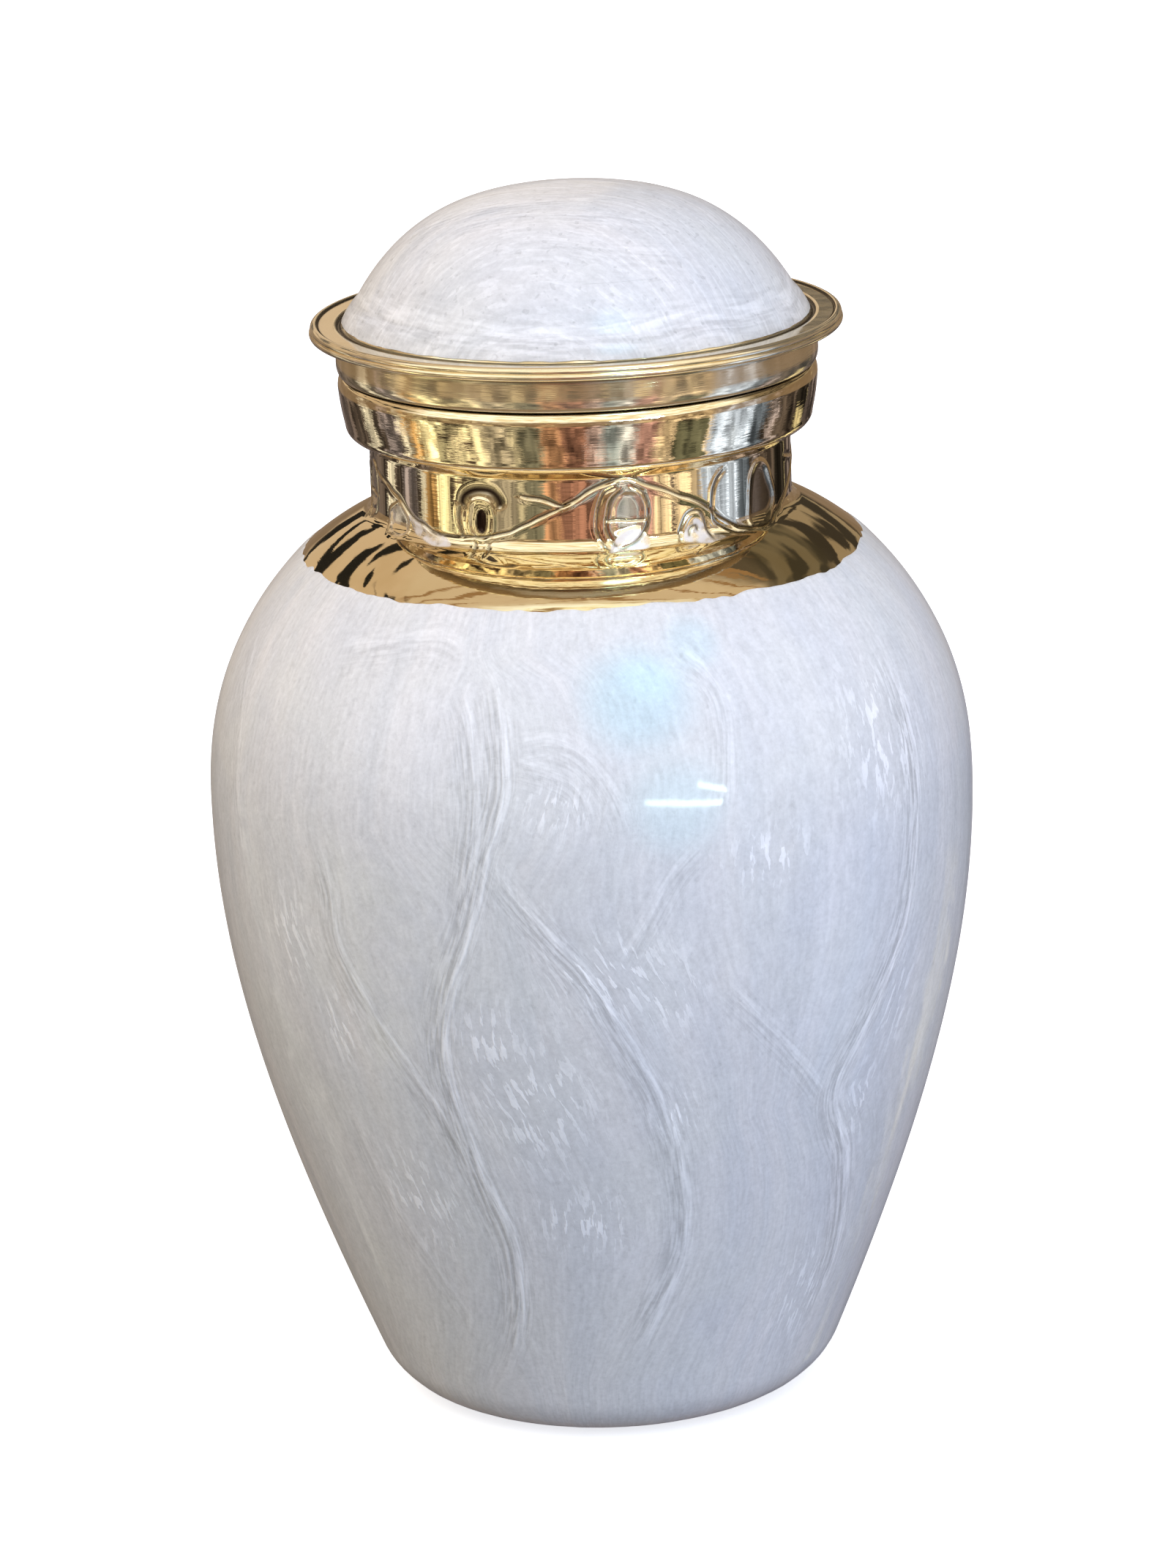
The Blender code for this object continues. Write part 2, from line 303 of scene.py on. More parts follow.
def dome_curve(depth, steps):
    """The dome from its top to the crease above the brim, this deep inside its surface."""
    radius = DOME_RADIUS * np.sin(0.5 * math.pi * np.linspace(0.0, 1.0, steps + 1))
    share = 1.0 - (radius / DOME_SPREAD) ** DOME_FLATNESS
    z = DOME_TOP - DOME_DEPTH + DOME_DEPTH * share ** (1.0 / DOME_FULLNESS)
    return np.column_stack((radius * (1.0 - depth / DOME_RADIUS), z - depth))


def brim_curve(steps):
    """From the dome's crease out over the brim to below the flange."""
    crease = dome_curve(0.0, 1)[-1]
    bottom = np.array((BRIM_RADIUS, BRIM_BOTTOM - BRIM_REACH))
    share = np.linspace(0.0, 1.0, steps + 1)[1:, None]
    return crease + (bottom - crease) * share + BRIM_BULGE * np.sin(math.pi * share)


def skirt_side(cove, steps):
    """The lid's skirt below the cove: a flaring straight side and a tucked lower edge."""
    low = SKIRT_BOTTOM + SKIRT_TUCK
    down = np.linspace(0.0, 1.0, steps + 1)[1:]
    flared = cove[0] - COVE_RADIUS + SKIRT_FLARE * (1.5 * down - 0.5 * down**2)
    side = np.column_stack((flared, cove[1] + (low - cove[1]) * down))
    tuck = oval_arc((flared[-1] - SKIRT_ROUNDING, low), SKIRT_ROUNDING, SKIRT_TUCK, 0.0, -90.0, 14)
    return np.vstack((side, tuck[1:]))


def lid_outline():
    """The lid's brass, which lies a little below the enamel on the dome."""
    flat = FLANGE + FLANGE_STEP
    groove = LIP_RADIUS - LIP_LAND - GROOVE
    lip_edge = (LIP_RADIUS - LIP_EDGE_ROUNDING - LIP_SETBACK, LIP_TOP - LIP_EDGE_ROUNDING)
    cove = (SKIRT_RADIUS - 0.5 * SKIRT_FLARE + COVE_RADIUS, LIP_UNDERSIDE - COVE_RADIUS)
    outer = NECK_BORE - SPIGOT_CLEARANCE
    inner = outer - SPIGOT_WALL
    end = COLLAR_TOP - SPIGOT_LENGTH
    web_top = SKIRT_BOTTOM + WEB_THICKNESS
    room = SKIRT_RADIUS - WALL
    return np.vstack((
        dome_curve(UNDER_DOME, 30),
        offset(brim_curve(8), -UNDER_BRIM)[1:],
        arc((BRIM_RADIUS + CREVICE, FLANGE), CREVICE, 200.0, 360.0, 10),
        np.linspace((BRIM_RADIUS + 2.0 * CREVICE + 0.1, flat), (groove - 0.3, flat), 6),
        arc((groove + 0.5 * GROOVE, flat), 0.5 * GROOVE, 180.0, 340.0, 8),
        arc(lip_edge, LIP_EDGE_ROUNDING, 110.0, -35.0, 18),
        arc((LIP_RADIUS - LIP_ROLL, LIP_ROLL_HEIGHT), LIP_ROLL, 38.0, -75.0, 14),
        arc(cove, COVE_RADIUS, 100.0, 180.0, 14),
        skirt_side(cove, 9),
        [(outer + 0.2, SKIRT_BOTTOM), (outer, SKIRT_BOTTOM - 0.2)],
        [(outer, end + 0.4), (outer - 0.4, end)],
        [(inner + EDGE_BREAK, end), (inner, end + EDGE_BREAK), (inner, web_top)],
        [(room, web_top), (room, cove[1]), (DOME_RADIUS, FLANGE)],
        dome_curve(WALL, 24)[::-1],
    ))


# Meshes


def ring_faces(rows, columns, closed):
    """Quads between successive rings of points, and from the last to the first of a closed section."""
    row = np.arange(rows if closed else rows - 1)[:, None]
    column = np.arange(columns)
    following = (column + 1) % columns
    low, high = row * columns, (row + 1) % rows * columns
    quads = (low + column, low + following, high + following, high + column)
    return np.stack(quads, axis=-1).reshape(-1, 4)


def add_mesh(name, points, *groups):
    """A smooth mesh from points in millimetres and groups of faces with the same number of corners."""
    corners = np.concatenate([group.ravel() for group in groups]).astype(np.int32)
    sizes = np.concatenate([np.full(len(group), group.shape[1]) for group in groups])
    starts = np.concatenate(([0], np.cumsum(sizes)[:-1])).astype(np.int32)
    mesh = bpy.data.meshes.new(name)
    mesh.vertices.add(len(points))
    mesh.vertices.foreach_set("co", (points * MM).astype(np.float32).ravel())
    mesh.loops.add(len(corners))
    mesh.loops.foreach_set("vertex_index", corners)
    mesh.polygons.add(len(sizes))
    mesh.polygons.foreach_set("loop_start", starts)
    mesh.update(calc_edges=True)
    mesh.validate()
    mesh.shade_smooth()
    obj = bpy.data.objects.new(name, mesh)
    bpy.context.collection.objects.link(obj)
    return obj


def store(obj, name, values):
    """Keeps a number or a vector for each vertex for the material, and 0 past the last value."""
    kind, key = ("FLOAT_VECTOR", "vector") if values.ndim == 2 else ("FLOAT", "value")
    padded = np.zeros((len(obj.data.vertices), *values.shape[1:]), dtype=np.float32)
    padded[: len(values)] = values
    obj.data.attributes.new(name, kind, "POINT").data.foreach_set(key, padded.ravel())


def around(section, angle):
    """Points of a section turned round the axis. Angle 0 is the front, and it grows towards +X."""
    x, y = section[..., 0] * np.sin(angle), -section[..., 0] * np.cos(angle)
    return np.stack((x, y, np.broadcast_to(section[..., 1], x.shape)), axis=-1)


def column_angles(columns):
    return -math.pi + 2.0 * math.pi * np.arange(columns) / columns


def turned(name, outline, crevices):
    """A closed solid from an outline from axis to axis, with its outer side going up.

    Crevices get painted shade, which darkens the brass near them: radius, height, reach and strength.
    """
    rings = outline[1:-1]
    points = around(rings[:, None], column_angles(LATHE_COLUMNS)).reshape(-1, 3)
    ends = [(0.0, 0.0, outline[0, 1]), (0.0, 0.0, outline[-1, 1])]
    column = np.arange(LATHE_COLUMNS)
    following = (column + 1) % LATHE_COLUMNS
    last = (len(rings) - 1) * LATHE_COLUMNS
    bottom = np.column_stack((np.full(LATHE_COLUMNS, len(points)), following, column))
    top = np.column_stack((np.full(LATHE_COLUMNS, len(points) + 1), last + column, last + following))
    quads = ring_faces(len(rings), LATHE_COLUMNS, False)
    obj = add_mesh(name, np.vstack((points, ends)), quads, np.vstack((bottom, top)))
    obj.data.set_sharp_from_angle(angle=math.radians(SHARP_TURNING))
    shade = np.zeros(len(rings))
    for radius, z, reach, strength in crevices:
        away = np.hypot(rings[:, 0] - radius, rings[:, 1] - z)
        shade = np.maximum(shade, strength * smooth(reach, 0.4 * reach, away))
    store(obj, "patina_and_shade", np.repeat(shade, LATHE_COLUMNS))
    return obj


def sleeve(name, outer, inner, angle):
    """A closed ring round the axis from an outer side going down and an inner side going up."""
    section = np.concatenate((outer, inner), axis=0)
    section[..., 0] = np.maximum(section[..., 0], 0.05)
    points = around(section, angle).reshape(-1, 3)
    return add_mesh(name, points, ring_faces(len(section), len(angle), True)[:, ::-1])


# Smooth random fields and flat lines


LATTICE_SIZE = 48
LATTICE = np.random.default_rng(11).random((LATTICE_SIZE, LATTICE_SIZE, LATTICE_SIZE))
# Wander of the engraved lines and of the strokes: two places in the lattice, size and amount
NECK_WANDER = ((31.0, 77.0), 3.0, 0.7)
BELLY_WANDER = ((15.0, 55.0), 24.0, 2.2)
DOME_WANDER = ((15.0, 55.0), 14.0, 2.0)


def noise(points, size):
    """Smooth noise from 0 to 1 with features of this size in millimetres."""
    at = points / size + 1000.0
    cell = np.floor(at).astype(int)
    share = at - cell
    share = share * share * (3.0 - 2.0 * share)
    total = 0.0
    for corner in np.ndindex(2, 2, 2):
        x, y, z = np.moveaxis((cell + corner) % LATTICE_SIZE, -1, 0)
        total = total + LATTICE[x, y, z] * np.prod(np.abs(1 - np.array(corner) - share), axis=-1)
    return total


def wandering(flat, points, wander):
    """Flat points moved a little by two random fields that are read at the points in space."""
    starts, size, amount = wander
    return flat + amount * (np.column_stack([noise(points + start, size) for start in starts]) - 0.5)


def smooth(low, high, value):
    share = np.clip((value - low) / (high - low), 0.0, 1.0)
    return share * share * (3.0 - 2.0 * share)


def bell(value, middle, width):
    return np.exp(-(((value - middle) / width) ** 2))


def curve_through(points, spacing):
    """A smooth line through these points, closed where its ends meet."""
    points = np.asarray(points, dtype=float)
    closed = np.allclose(points[0], points[-1])
    before = points[-2] if closed else 2 * points[0] - points[1]
    after = points[1] if closed else 2 * points[-1] - points[-2]
    padded = np.vstack((before, points, after))
    made = []
    for p0, p1, p2, p3 in zip(padded, padded[1:], padded[2:], padded[3:]):
        count = max(2, int(np.hypot(*(p2 - p1)) / spacing))
        t = np.linspace(0.0, 1.0, count, endpoint=False)[:, None]
        bend, twist = 2 * p0 - 5 * p1 + 4 * p2 - p3, 3 * p1 - p0 - 3 * p2 + p3
        made.append(0.5 * (2 * p1 + (p2 - p0) * t + bend * t**2 + twist * t**3))
    made.append(points[-1:])
    return np.vstack(made)


def distance_to(line, flat, reach):
    """Which flat points may be within reach of a line, and for these the distance from it,
    the side (positive on the right of the line's way) and the share of its length."""
    low, high = line.min(axis=0) - reach, line.max(axis=0) + reach
    near = np.flatnonzero(np.all((flat > low) & (flat < high), axis=1))
    best = np.full(len(near), np.inf)
    side, share = np.zeros((2, len(near)))
    length = lengths(line)
    for index in range(len(line) - 1):
        step = line[index + 1] - line[index]
        to = flat[near] - line[index]
        t = np.clip(to @ step / max(step @ step, 1e-9), 0.0, 1.0)
        away = np.hypot(*(to - t[:, None] * step).T)
        nearer = away < best
        best[nearer] = away[nearer]
        side[nearer] = np.sign(step[1] * to[nearer, 0] - step[0] * to[nearer, 1])
        share[nearer] = (length[index] + t[nearer] * (length[index + 1] - length[index])) / length[-1]
    return near, best, side, share


def enclosed(line, flat):
    """Whether flat points are inside a closed line."""
    found = np.zeros(len(flat), dtype=bool)
    x, y = flat.T
    for (x0, y0), (x1, y1) in zip(line[:-1], line[1:]):
        if y1 != y0:
            found ^= ((y0 > y) != (y1 > y)) & (x < (x1 - x0) * (y - y0) / (y1 - y0) + x0)
    return found


# Brass pieces


def vessel_wall():
    # Painted shade in the seam where the lid's skirt sits on the collar's bead
    return turned("vessel_wall", vessel_outline(), [(COLLAR_HIGH_RADIUS - BEAD_WIDTH, COLLAR_TOP, 0.4, 1.0)])


def lid_metal():
    # Painted shade: darkening in the crevice round the dome, in the flange's groove, under the lip and at
    # the skirt's foot on the collar
    crevices = [
        (BRIM_RADIUS + CREVICE, FLANGE - CREVICE, 1.0, 1.0),
        (LIP_RADIUS - LIP_LAND - 0.5 * GROOVE, FLANGE - 0.5 * GROOVE, 0.7, 0.95),
        (SKIRT_RADIUS + 0.4, LIP_UNDERSIDE - 0.3, 1.7, 0.6),
        (SKIRT_RADIUS - SKIRT_ROUNDING, SKIRT_BOTTOM, 0.45, 0.8),
    ]
    return turned("lid_brass", lid_outline()[::-1], crevices)


# Engraved neck


# Its lines: angle from the front in degrees, and depth below the neck's upper fillet in millimetres
STEM = [
    (-78, 2.3), (-69, 4.7), (-60, 7), (-53, 10.4), (-45, 12.4), (-37, 13), (-29, 12.4), (-22, 11.6),
    (-13, 8.4), (-7, 6.6), (1, 3.1), (8, 0.9), (12, 0.5), (17, 1.9), (23.5, 4.1), (32.5, 7.4), (42, 12.3),
    (49, 14.8), (57, 15.2), (67, 13.2), (78, 9.2), (90, 4.5), (102, 0.8), (113, 3.4), (124, 7.6),
    (136, 12.2), (146, 13.6), (157, 12.6), (168, 9), (180, 4.6), (192, 0.8), (203, 3.6), (214, 7.9),
    (226, 12), (237, 13.8), (248, 12.2), (259, 8.8), (270, 4.9), (282, 2.3),
]
TWIG = [(-17, 3.3), (-11, 4.2), (-5, 5.4), (-2, 4.6)]
FOLDED_LEAF = [
    [(9, 0.9), (5.5, 3), (3.6, 7), (4, 11.5), (7, 14.8)],
    [(10.5, 1.8), (7.8, 4.2), (6.4, 8), (6.9, 11.8), (9, 14.2)],
    [(6.2, 8.1), (11, 8.4), (17, 8.5)],
    [(12.5, 1.3), (16.3, 3.1), (17.5, 6.5), (16.8, 10), (13.5, 13), (8.4, 14.6)],
]
FOLD = [
    (7.6, 4.2), (10, 2.2), (14.5, 2.8), (16.8, 6), (16.2, 9.6), (13.5, 11.2), (8, 11.6), (6.9, 8),
    (7.6, 4.2),
]
BLUNT_PETAL = [
    (6.4, 14.9), (8.6, 11.6), (11.8, 10.4), (15.2, 10.6), (17.6, 12.4), (17, 14.4), (12, 15), (6.4, 14.9),
]
BOTTLE_LEAF = [
    (-60, 15.2), (-55, 14.6), (-53.8, 11), (-57, 8.2), (-60.5, 8.6), (-63.2, 10.2), (-64.2, 12.8),
    (-62.4, 14.9), (-60, 15.2),
]
BENT_LEAF_ARCH = [(-34, 6), (-32.8, 3.4), (-29.5, 2.2), (-25.6, 2.2), (-22.9, 3.8), (-21.9, 6)]
BENT_LEAF_RIM = [
    (-31.3, 10.6), (-31.6, 6.4), (-30.4, 4.6), (-28, 4.1), (-25.6, 4.8), (-24.4, 7), (-24.5, 10.6),
    (-26.5, 12.3), (-29.4, 12.2), (-31.3, 10.6),
]
BENT_LEAF_EYE = [
    (-29.8, 9.6), (-29.9, 7.2), (-29, 5.9), (-27.2, 5.8), (-26.2, 7), (-26.2, 9.8), (-27.2, 11),
    (-28.8, 11), (-29.8, 9.6),
]
LEAF_STALK = [
    [(-34.2, 5.5), (-34.6, 9), (-33.4, 12.6)],
    [(-29.8, 12.8), (-29, 16.8)],
    [(-25.6, 12.8), (-25.4, 17)],
]
WEDGE = [
    (-54, 9.5), (-49, 10), (-44, 11.5), (-39, 12.8), (-37, 14.8), (-43, 15.2), (-49, 14),
    (-52.5, 12), (-54, 9.5),
]
HOOK = [
    [(26.3, 14.3), (26.9, 11), (28.6, 8.5), (31.2, 8.1), (33.6, 9.2), (34.8, 11.6), (36.2, 14.6)],
    [(29.3, 13.6), (29.8, 11.6), (31.3, 11.2), (32.4, 12.6)],
]
HOOK_PETAL = [
    (27.5, 14.5), (28.2, 11.5), (30.5, 9.5), (33.5, 10.5), (36.5, 13), (40, 15), (34, 15.6), (27.5, 14.5),
]
TALL_LEAF_CUT = [
    (42, 0.7), (39, 2.6), (37.4, 5.6), (37.3, 10), (40.2, 12.6), (44.4, 14.2), (49, 15.6),
]
TALL_LEAF_RIM = [
    (51, 14.6), (50.3, 11.4), (50.8, 7.4), (52.2, 3.8), (54.4, 1.8), (57.8, 1.9), (61.2, 4.6), (63.4, 8.2),
    (63.1, 11.6), (59, 14), (54, 15.4), (51, 14.6),
]
# Turns in degrees at which a line is repeated
ONCE = (0,)
TWICE = (0, 178)
HALF_ROUND = (0, -180)
THREE = (0, 90, 178)
FOUR = (0, 90, 180, -90)
# Across each kind of line: heights and dark patina, as amount, middle and width in millimetres. Positive
# middles are on the left of the line's way, as depths grow downwards
PROFILES = {
    "stem": ([(0.15, 0.0, 0.45), (-0.20, 0.75, 0.28)], [(0.9, 0.75, 0.30)]),
    "cut": ([(-0.20, 0.0, 0.30), (0.10, -0.62, 0.35)], [(0.8, 0.0, 0.28)]),
    "arch": ([(-0.24, 0.0, 0.90)], [(1.0, 0.0, 1.05)]),
    "rim": ([(0.17, 0.0, 0.42)], []),
}
LINES = [
    ("stem", [STEM], ONCE),
    ("stem", [TWIG], FOUR),
    ("cut", FOLDED_LEAF, FOUR),
    ("cut", HOOK, THREE),
    ("arch", [BENT_LEAF_ARCH], TWICE),
    ("rim", [BENT_LEAF_RIM], TWICE),
    ("rim", [BOTTLE_LEAF], ONCE),
    ("cut", LEAF_STALK, TWICE),
    ("cut", [TALL_LEAF_CUT], HALF_ROUND),
    ("rim", [TALL_LEAF_RIM], HALF_ROUND),
]
# Closed lines that are hollowed or raised: their turns, depth in millimetres, darkness and frost, whose pale
# colour is a painted highlight
HOLLOWS = [
    (BENT_LEAF_EYE, TWICE, 0.45, 1.0, 0.0),
    (TALL_LEAF_RIM, HALF_ROUND, 0.30, 0.55, 0.0),
    (BOTTLE_LEAF, ONCE, 0.28, 0.0, 0.35),
    (BLUNT_PETAL, THREE, -0.35, 0.0, 1.0),
    (WEDGE, TWICE, -0.15, 0.0, 0.9),
    (HOOK_PETAL, THREE, -0.15, 0.0, 0.9),
    (FOLD, FOUR, 0.35, 0.0, 0.22),
]
LINE_REACH = 3.5
HOLLOW_REACH = 0.5
HOLLOW_SLOPE = 1.8


def placed(route, turns):
    """A route on the flattened neck, at each of these turns and once more beyond each end."""
    for turn in turns:
        line = curve_through([((angle + turn) * NECK_DEGREE, depth) for angle, depth in route], 0.5)
        for wrap in (-360.0, 0.0, 360.0):
            yield line + (wrap * NECK_DEGREE, 0.0)


def engraving(angle, depth, points):
    """The neck's height over its turned shape in millimetres, how dark it is, and how frosted it is, with
    the frost's pale colour a painted highlight.
    """
    flat = wandering(np.column_stack((np.degrees(angle) * NECK_DEGREE, depth)), points, NECK_WANDER)
    height, patina_and_shade, frost_and_highlight = np.zeros((3, len(flat)))
    for kind, routes, turns in LINES:
        heights, darks = PROFILES[kind]
        for line in (line for route in routes for line in placed(route, turns)):
            near, away, side, share = distance_to(line, flat, LINE_REACH)
            closed = np.allclose(line[0], line[-1])
            taper = 1.0 if closed else smooth(-0.02, 0.08, share) * smooth(1.02, 0.90, share)
            for amount, middle, width in heights:
                height[near] += taper * amount * bell(side * away, middle, width)
            for amount, middle, width in darks:
                patina_and_shade[near] = np.maximum(patina_and_shade[near], taper * amount * bell(side * away, middle, width))
    for route, turns, deep, dark, frost_highlight in HOLLOWS:
        for line in placed(route, turns):
            near, away, _, _ = distance_to(line, flat, HOLLOW_REACH)
            away = np.where(enclosed(line, flat[near]), away, 0.0)
            height[near] -= deep * smooth(0.0, HOLLOW_SLOPE, away)
            patina_and_shade[near] = np.maximum(patina_and_shade[near], dark * smooth(0.1, 0.4, away))
            frost_and_highlight[near] = np.maximum(frost_and_highlight[near], frost_highlight * smooth(0.0, 0.4, away))
    return height, patina_and_shade, frost_and_highlight * (1.0 - patina_and_shade)


def engraved_neck():
    """The neck's outer skin from under the collar to under the paint, with the vine in low relief."""
    outline = neck_outline()
    length = lengths(outline)
    straight = np.interp(COLLAR_FILLET - COLLAR_BOTTOM, -outline[:, 1], length)
    at = through(0.0, (straight - 0.4, 10), (straight + SLEEVE_ENGRAVED, 74), (length[-1], 26))
    ring = at_length(outline, at, outline)
    angle = column_angles(SLEEVE_COLUMNS)
    depth = np.repeat(at - straight, SLEEVE_COLUMNS)
    points = around(ring[:, None], angle).reshape(-1, 3)
    height, patina_and_shade, frost_and_highlight = engraving(np.tile(angle, len(ring)), depth, points)
    below = np.repeat(smooth(straight - 1.2, straight + 0.2, at), SLEEVE_COLUMNS)
    raised = normals(ring)[:, None] * (height * below).reshape(len(ring), -1, 1)
    inner = np.repeat(offset(ring, -SLEEVE_THICKNESS)[::-12, None], SLEEVE_COLUMNS, axis=1)
    obj = sleeve("engraved_neck", ring[:, None] + raised, inner, angle)
    store(obj, "patina_and_shade", patina_and_shade * below)
    store(obj, "frost_and_highlight", frost_and_highlight)
    obj.data.set_sharp_from_angle(angle=math.radians(SHARP_SLEEVE))
    return obj


# Brushed enamel


# Strokes as angle from the front in degrees and height in millimetres, with their strength and the set
# that each is in. The strokes of one set lie well apart
STROKES = [
    ([(-22, 174), (-17, 170), (-15, 165), (-13, 151), (-15, 137), (-18, 122), (-22, 107), (-24, 93),
      (-23, 81), (-21, 66), (-18, 51), (-18, 38), (-21, 25), (-27, 12)], 1.0, 0),
    ([(-17, 139), (-10, 126.5), (-4.5, 117), (0, 109), (7.5, 89), (9.5, 82.5), (12.5, 69), (14, 49.5),
      (8.5, 30), (2, 16)], 0.8, 1),
    ([(57, 175), (57, 164), (56, 140), (54, 124), (52, 112), (46, 95), (40, 78), (47, 61), (51, 39),
      (49, 15)], 1.0, 0),
    ([(-45, 138), (-42, 126), (-41, 115), (-34, 98), (-26, 80), (-21, 62)], 0.7, 1),
    ([(15, 174), (20, 169), (22, 163), (21, 152), (19, 142)], 0.5, 1),
    ([(-12, 158), (-6, 159), (-1, 156), (3, 149), (5, 140)], 0.4, 2),
    ([(-12, 155), (-6, 153), (-2, 150), (0, 142)], 0.4, 1),
    ([(19, 109), (26, 98), (34, 85), (39, 77)], 0.5, 2),
    ([(-45, 79), (-42, 61), (-35, 41), (-30, 26)], 0.4, 2),
    ([(3, 113), (10, 130), (16, 138)], 0.4, 0),
    ([(-77, 169), (-69, 155), (-66, 140), (-64, 124)], 0.4, 1),
    ([(-48, 171), (-37, 174), (-28, 176), (-22, 174)], 0.4, 2),
    ([(-22, 168), (-19, 160), (-17.5, 150), (-17.2, 142), (-18.2, 130), (-19.5, 121)], 0.7, 2),
]
# The main strokes, which lead the brush's way
GUIDES = STROKES[:4]
# Strokes on the dome as places seen from above, in millimetres to the right and backwards. The last runs
# round the crease above the brim, where its dark and pale lines are painted shade and a painted highlight
CREASE_SHADE_RADIUS = 44.6
DOME_STROKES = [
    ([(-30, 30), (-14, 24), (0, 22), (14, 26), (28, 34)], 0.5, 0),
    ([(-34, 26), (-18, 19), (0, 16), (16, 18)], 0.4, 1),
    ([(-38, -2), (-24, -8), (-8, -12), (8, -14)], 0.55, 0),
    ([(-30, -12), (-12, -18), (6, -21), (24, -20)], 0.4, 1),
    ([(2, 10), (16, 14), (30, 12)], 0.35, 2),
    ([(-10, -28), (8, -31), (24, -27)], 0.35, 2),
    (arc((0.0, 0.0), CREASE_SHADE_RADIUS, -255.0, 75.0, 22), 0.6, 2),
]
STROKE_SETS = 3
STROKE_REACH = 9.0
# Height and width of the crest along a stroke and of the bank to its right
CREST = (0.06, 0.9)
BANK = (0.06, 3.2)
# Groups of pale flecks: angle, height, half the width in degrees and half the height in millimetres
FLECKS = [
    (-10.5, 83.5, 9, 14), (-17, 97, 5, 9), (10, 108, 5, 8), (11.5, 80, 4, 6), (-4, 56, 9, 7),
    (-43, 96, 4, 8), (-52, 113, 5, 10), (-34, 58, 8, 12), (52, 95, 5, 10), (47, 74, 4, 9),
    (26, 133, 7, 6), (-5, 146, 5, 4), (2, 112, 9, 9), (50, 150, 9, 14), (44, 30, 8, 12),
]
DOME_FLECKS = 0.25
# Waves of the coats' uneven edges: amount, place in the lattice and size
BELLY_EDGE = ((1.0, 0.0, 2.6), (1.2, 9.0, 11.0))
DOME_EDGE = ((0.25, 5.0, 2.4), (0.35, 19.0, 9.0))
# In millimetres: how far down the waves reach, how proud the belly's coat stands near its edge, how soft
# that edge is, where the proud part ends, and how deep the rest is sunk
WAVE_REACH = 7.0
EDGE_STEP = 0.25
EDGE_ROUNDING = 0.7
STEP_END = (26.0, 5.0)
SUNK = 0.16


def flow_across(across, z):
    """A coordinate that stays the same along the brush's way, made from the main strokes."""
    pulled = np.zeros(across.shape)
    weight = np.full(across.shape, 1e-4)
    for turn in (-180.0, 0.0, 180.0):
        for points, _, _ in GUIDES:
            angle, height = np.array(points[::-1], dtype=float).T
            at = np.interp(z, height, angle + turn) * BELLY_DEGREE
            middle = (angle.mean() + turn) * BELLY_DEGREE
            away = (across - at + 0.5 * BELLY_ROUND) % BELLY_ROUND - 0.5 * BELLY_ROUND
            pull = 1.0 / (away**2 + 60.0)
            pulled += pull * (at - middle)
            weight += pull
    return across - pulled / weight


def stroke_fields(flat, strokes, taper):
    """For each set, a vector for each point: distance to the side of its nearest stroke, place along it
    and strength."""
    fields = np.zeros((STROKE_SETS, len(flat), 3))
    nearest = np.full((STROKE_SETS, len(flat)), STROKE_REACH)
    for line, strength, group in strokes:
        near, away, side, share = distance_to(line, flat, STROKE_REACH)
        closer = away < nearest[group][near]
        near, away, side, share = near[closer], away[closer], side[closer], share[closer]
        nearest[group][near] = away
        fade = smooth(0.0, taper, share) * smooth(1.0, 1.0 - taper, share)
        fade *= smooth(STROKE_REACH, STROKE_REACH - 3.0, away)
        fields[group][near] = np.column_stack((side * away, share * lengths(line)[-1], strength * fade))
    return fields


def ridges(fields):
    """Height in millimetres of the brush's ridges: a crest along each stroke and a bank to its right."""
    height = 0.0
    for away, _, strength in fields.transpose(0, 2, 1):
        crest = CREST[0] * bell(away, 0.0, CREST[1])
        bank = BANK[0] * np.exp(-np.abs(away) / BANK[1]) * (away > 0)
        height = height + strength * (crest + bank)
    return height


def belly_marks(angle, section, length, points):
    """Height in millimetres of the brushed belly, the strokes' fields, and the way across the strokes."""
    radius, z = section.T
    across = angle * BELLY_RADIUS
    flat = wandering(np.column_stack((across, z)), points, BELLY_WANDER)
    strokes = []
    for turn in (0.0, 180.0):
        for route, strength, group in STROKES:
            line = curve_through([((a + turn) * BELLY_DEGREE, h) for a, h in route], 2.0)
            strokes += [(line + (wrap, 0.0), strength, group) for wrap in (-BELLY_ROUND, 0.0, BELLY_ROUND)]
    fields = stroke_fields(flat, strokes, 0.15)
    fields[..., 0] *= radius / BELLY_RADIUS
    turn = flow_across(across, z) / BELLY_RADIUS
    brush = np.column_stack((BELLY_RADIUS * np.cos(turn), BELLY_RADIUS * np.sin(turn), length))
    drag = noise(brush * (1.0, 1.0, 0.08), 2.2) - 0.5
    broad = noise(brush * (1.0, 1.0, 0.15), 9.0) - 0.5
    return ridges(fields) + 0.03 * drag + 0.10 * broad, fields, brush


def dome_marks(points):
    """The same for the dome, where the brush went across in bent lines."""
    flat = wandering(points[:, :2], points, DOME_WANDER)
    fields = stroke_fields(flat, [(curve_through(route, 2.0), *rest) for route, *rest in DOME_STROKES], 0.2)
    x, y = flat.T
    brush = np.column_stack((y + 0.010 * x**2 + 0.35 * x, np.zeros(len(flat)), x))
    drag = noise(brush * (1.0, 1.0, 0.08), 2.0) - 0.5
    return 0.8 * ridges(fields) + 0.04 * drag, fields, brush


def fleck_mask(angle, z):
    """How much of the pale flecks shows at each point, from 0 to 1."""
    mask = np.zeros(len(angle))
    degrees = np.degrees(angle)
    for turn in (0.0, 180.0):
        for place, height, wide, tall in FLECKS:
            away = (degrees - place - turn + 180.0) % 360.0 - 180.0
            mask = np.maximum(mask, bell(away, 0.0, wide) * bell(z, height, tall))
    return mask


def ragged(radius, angle, waves):
    """How far a coat's edge strays along the surface in millimetres."""
    rim = around(np.array((radius, 0.0)), angle)
    return sum(amount * (noise(rim + start, size) - 0.5) for amount, start, size in waves)


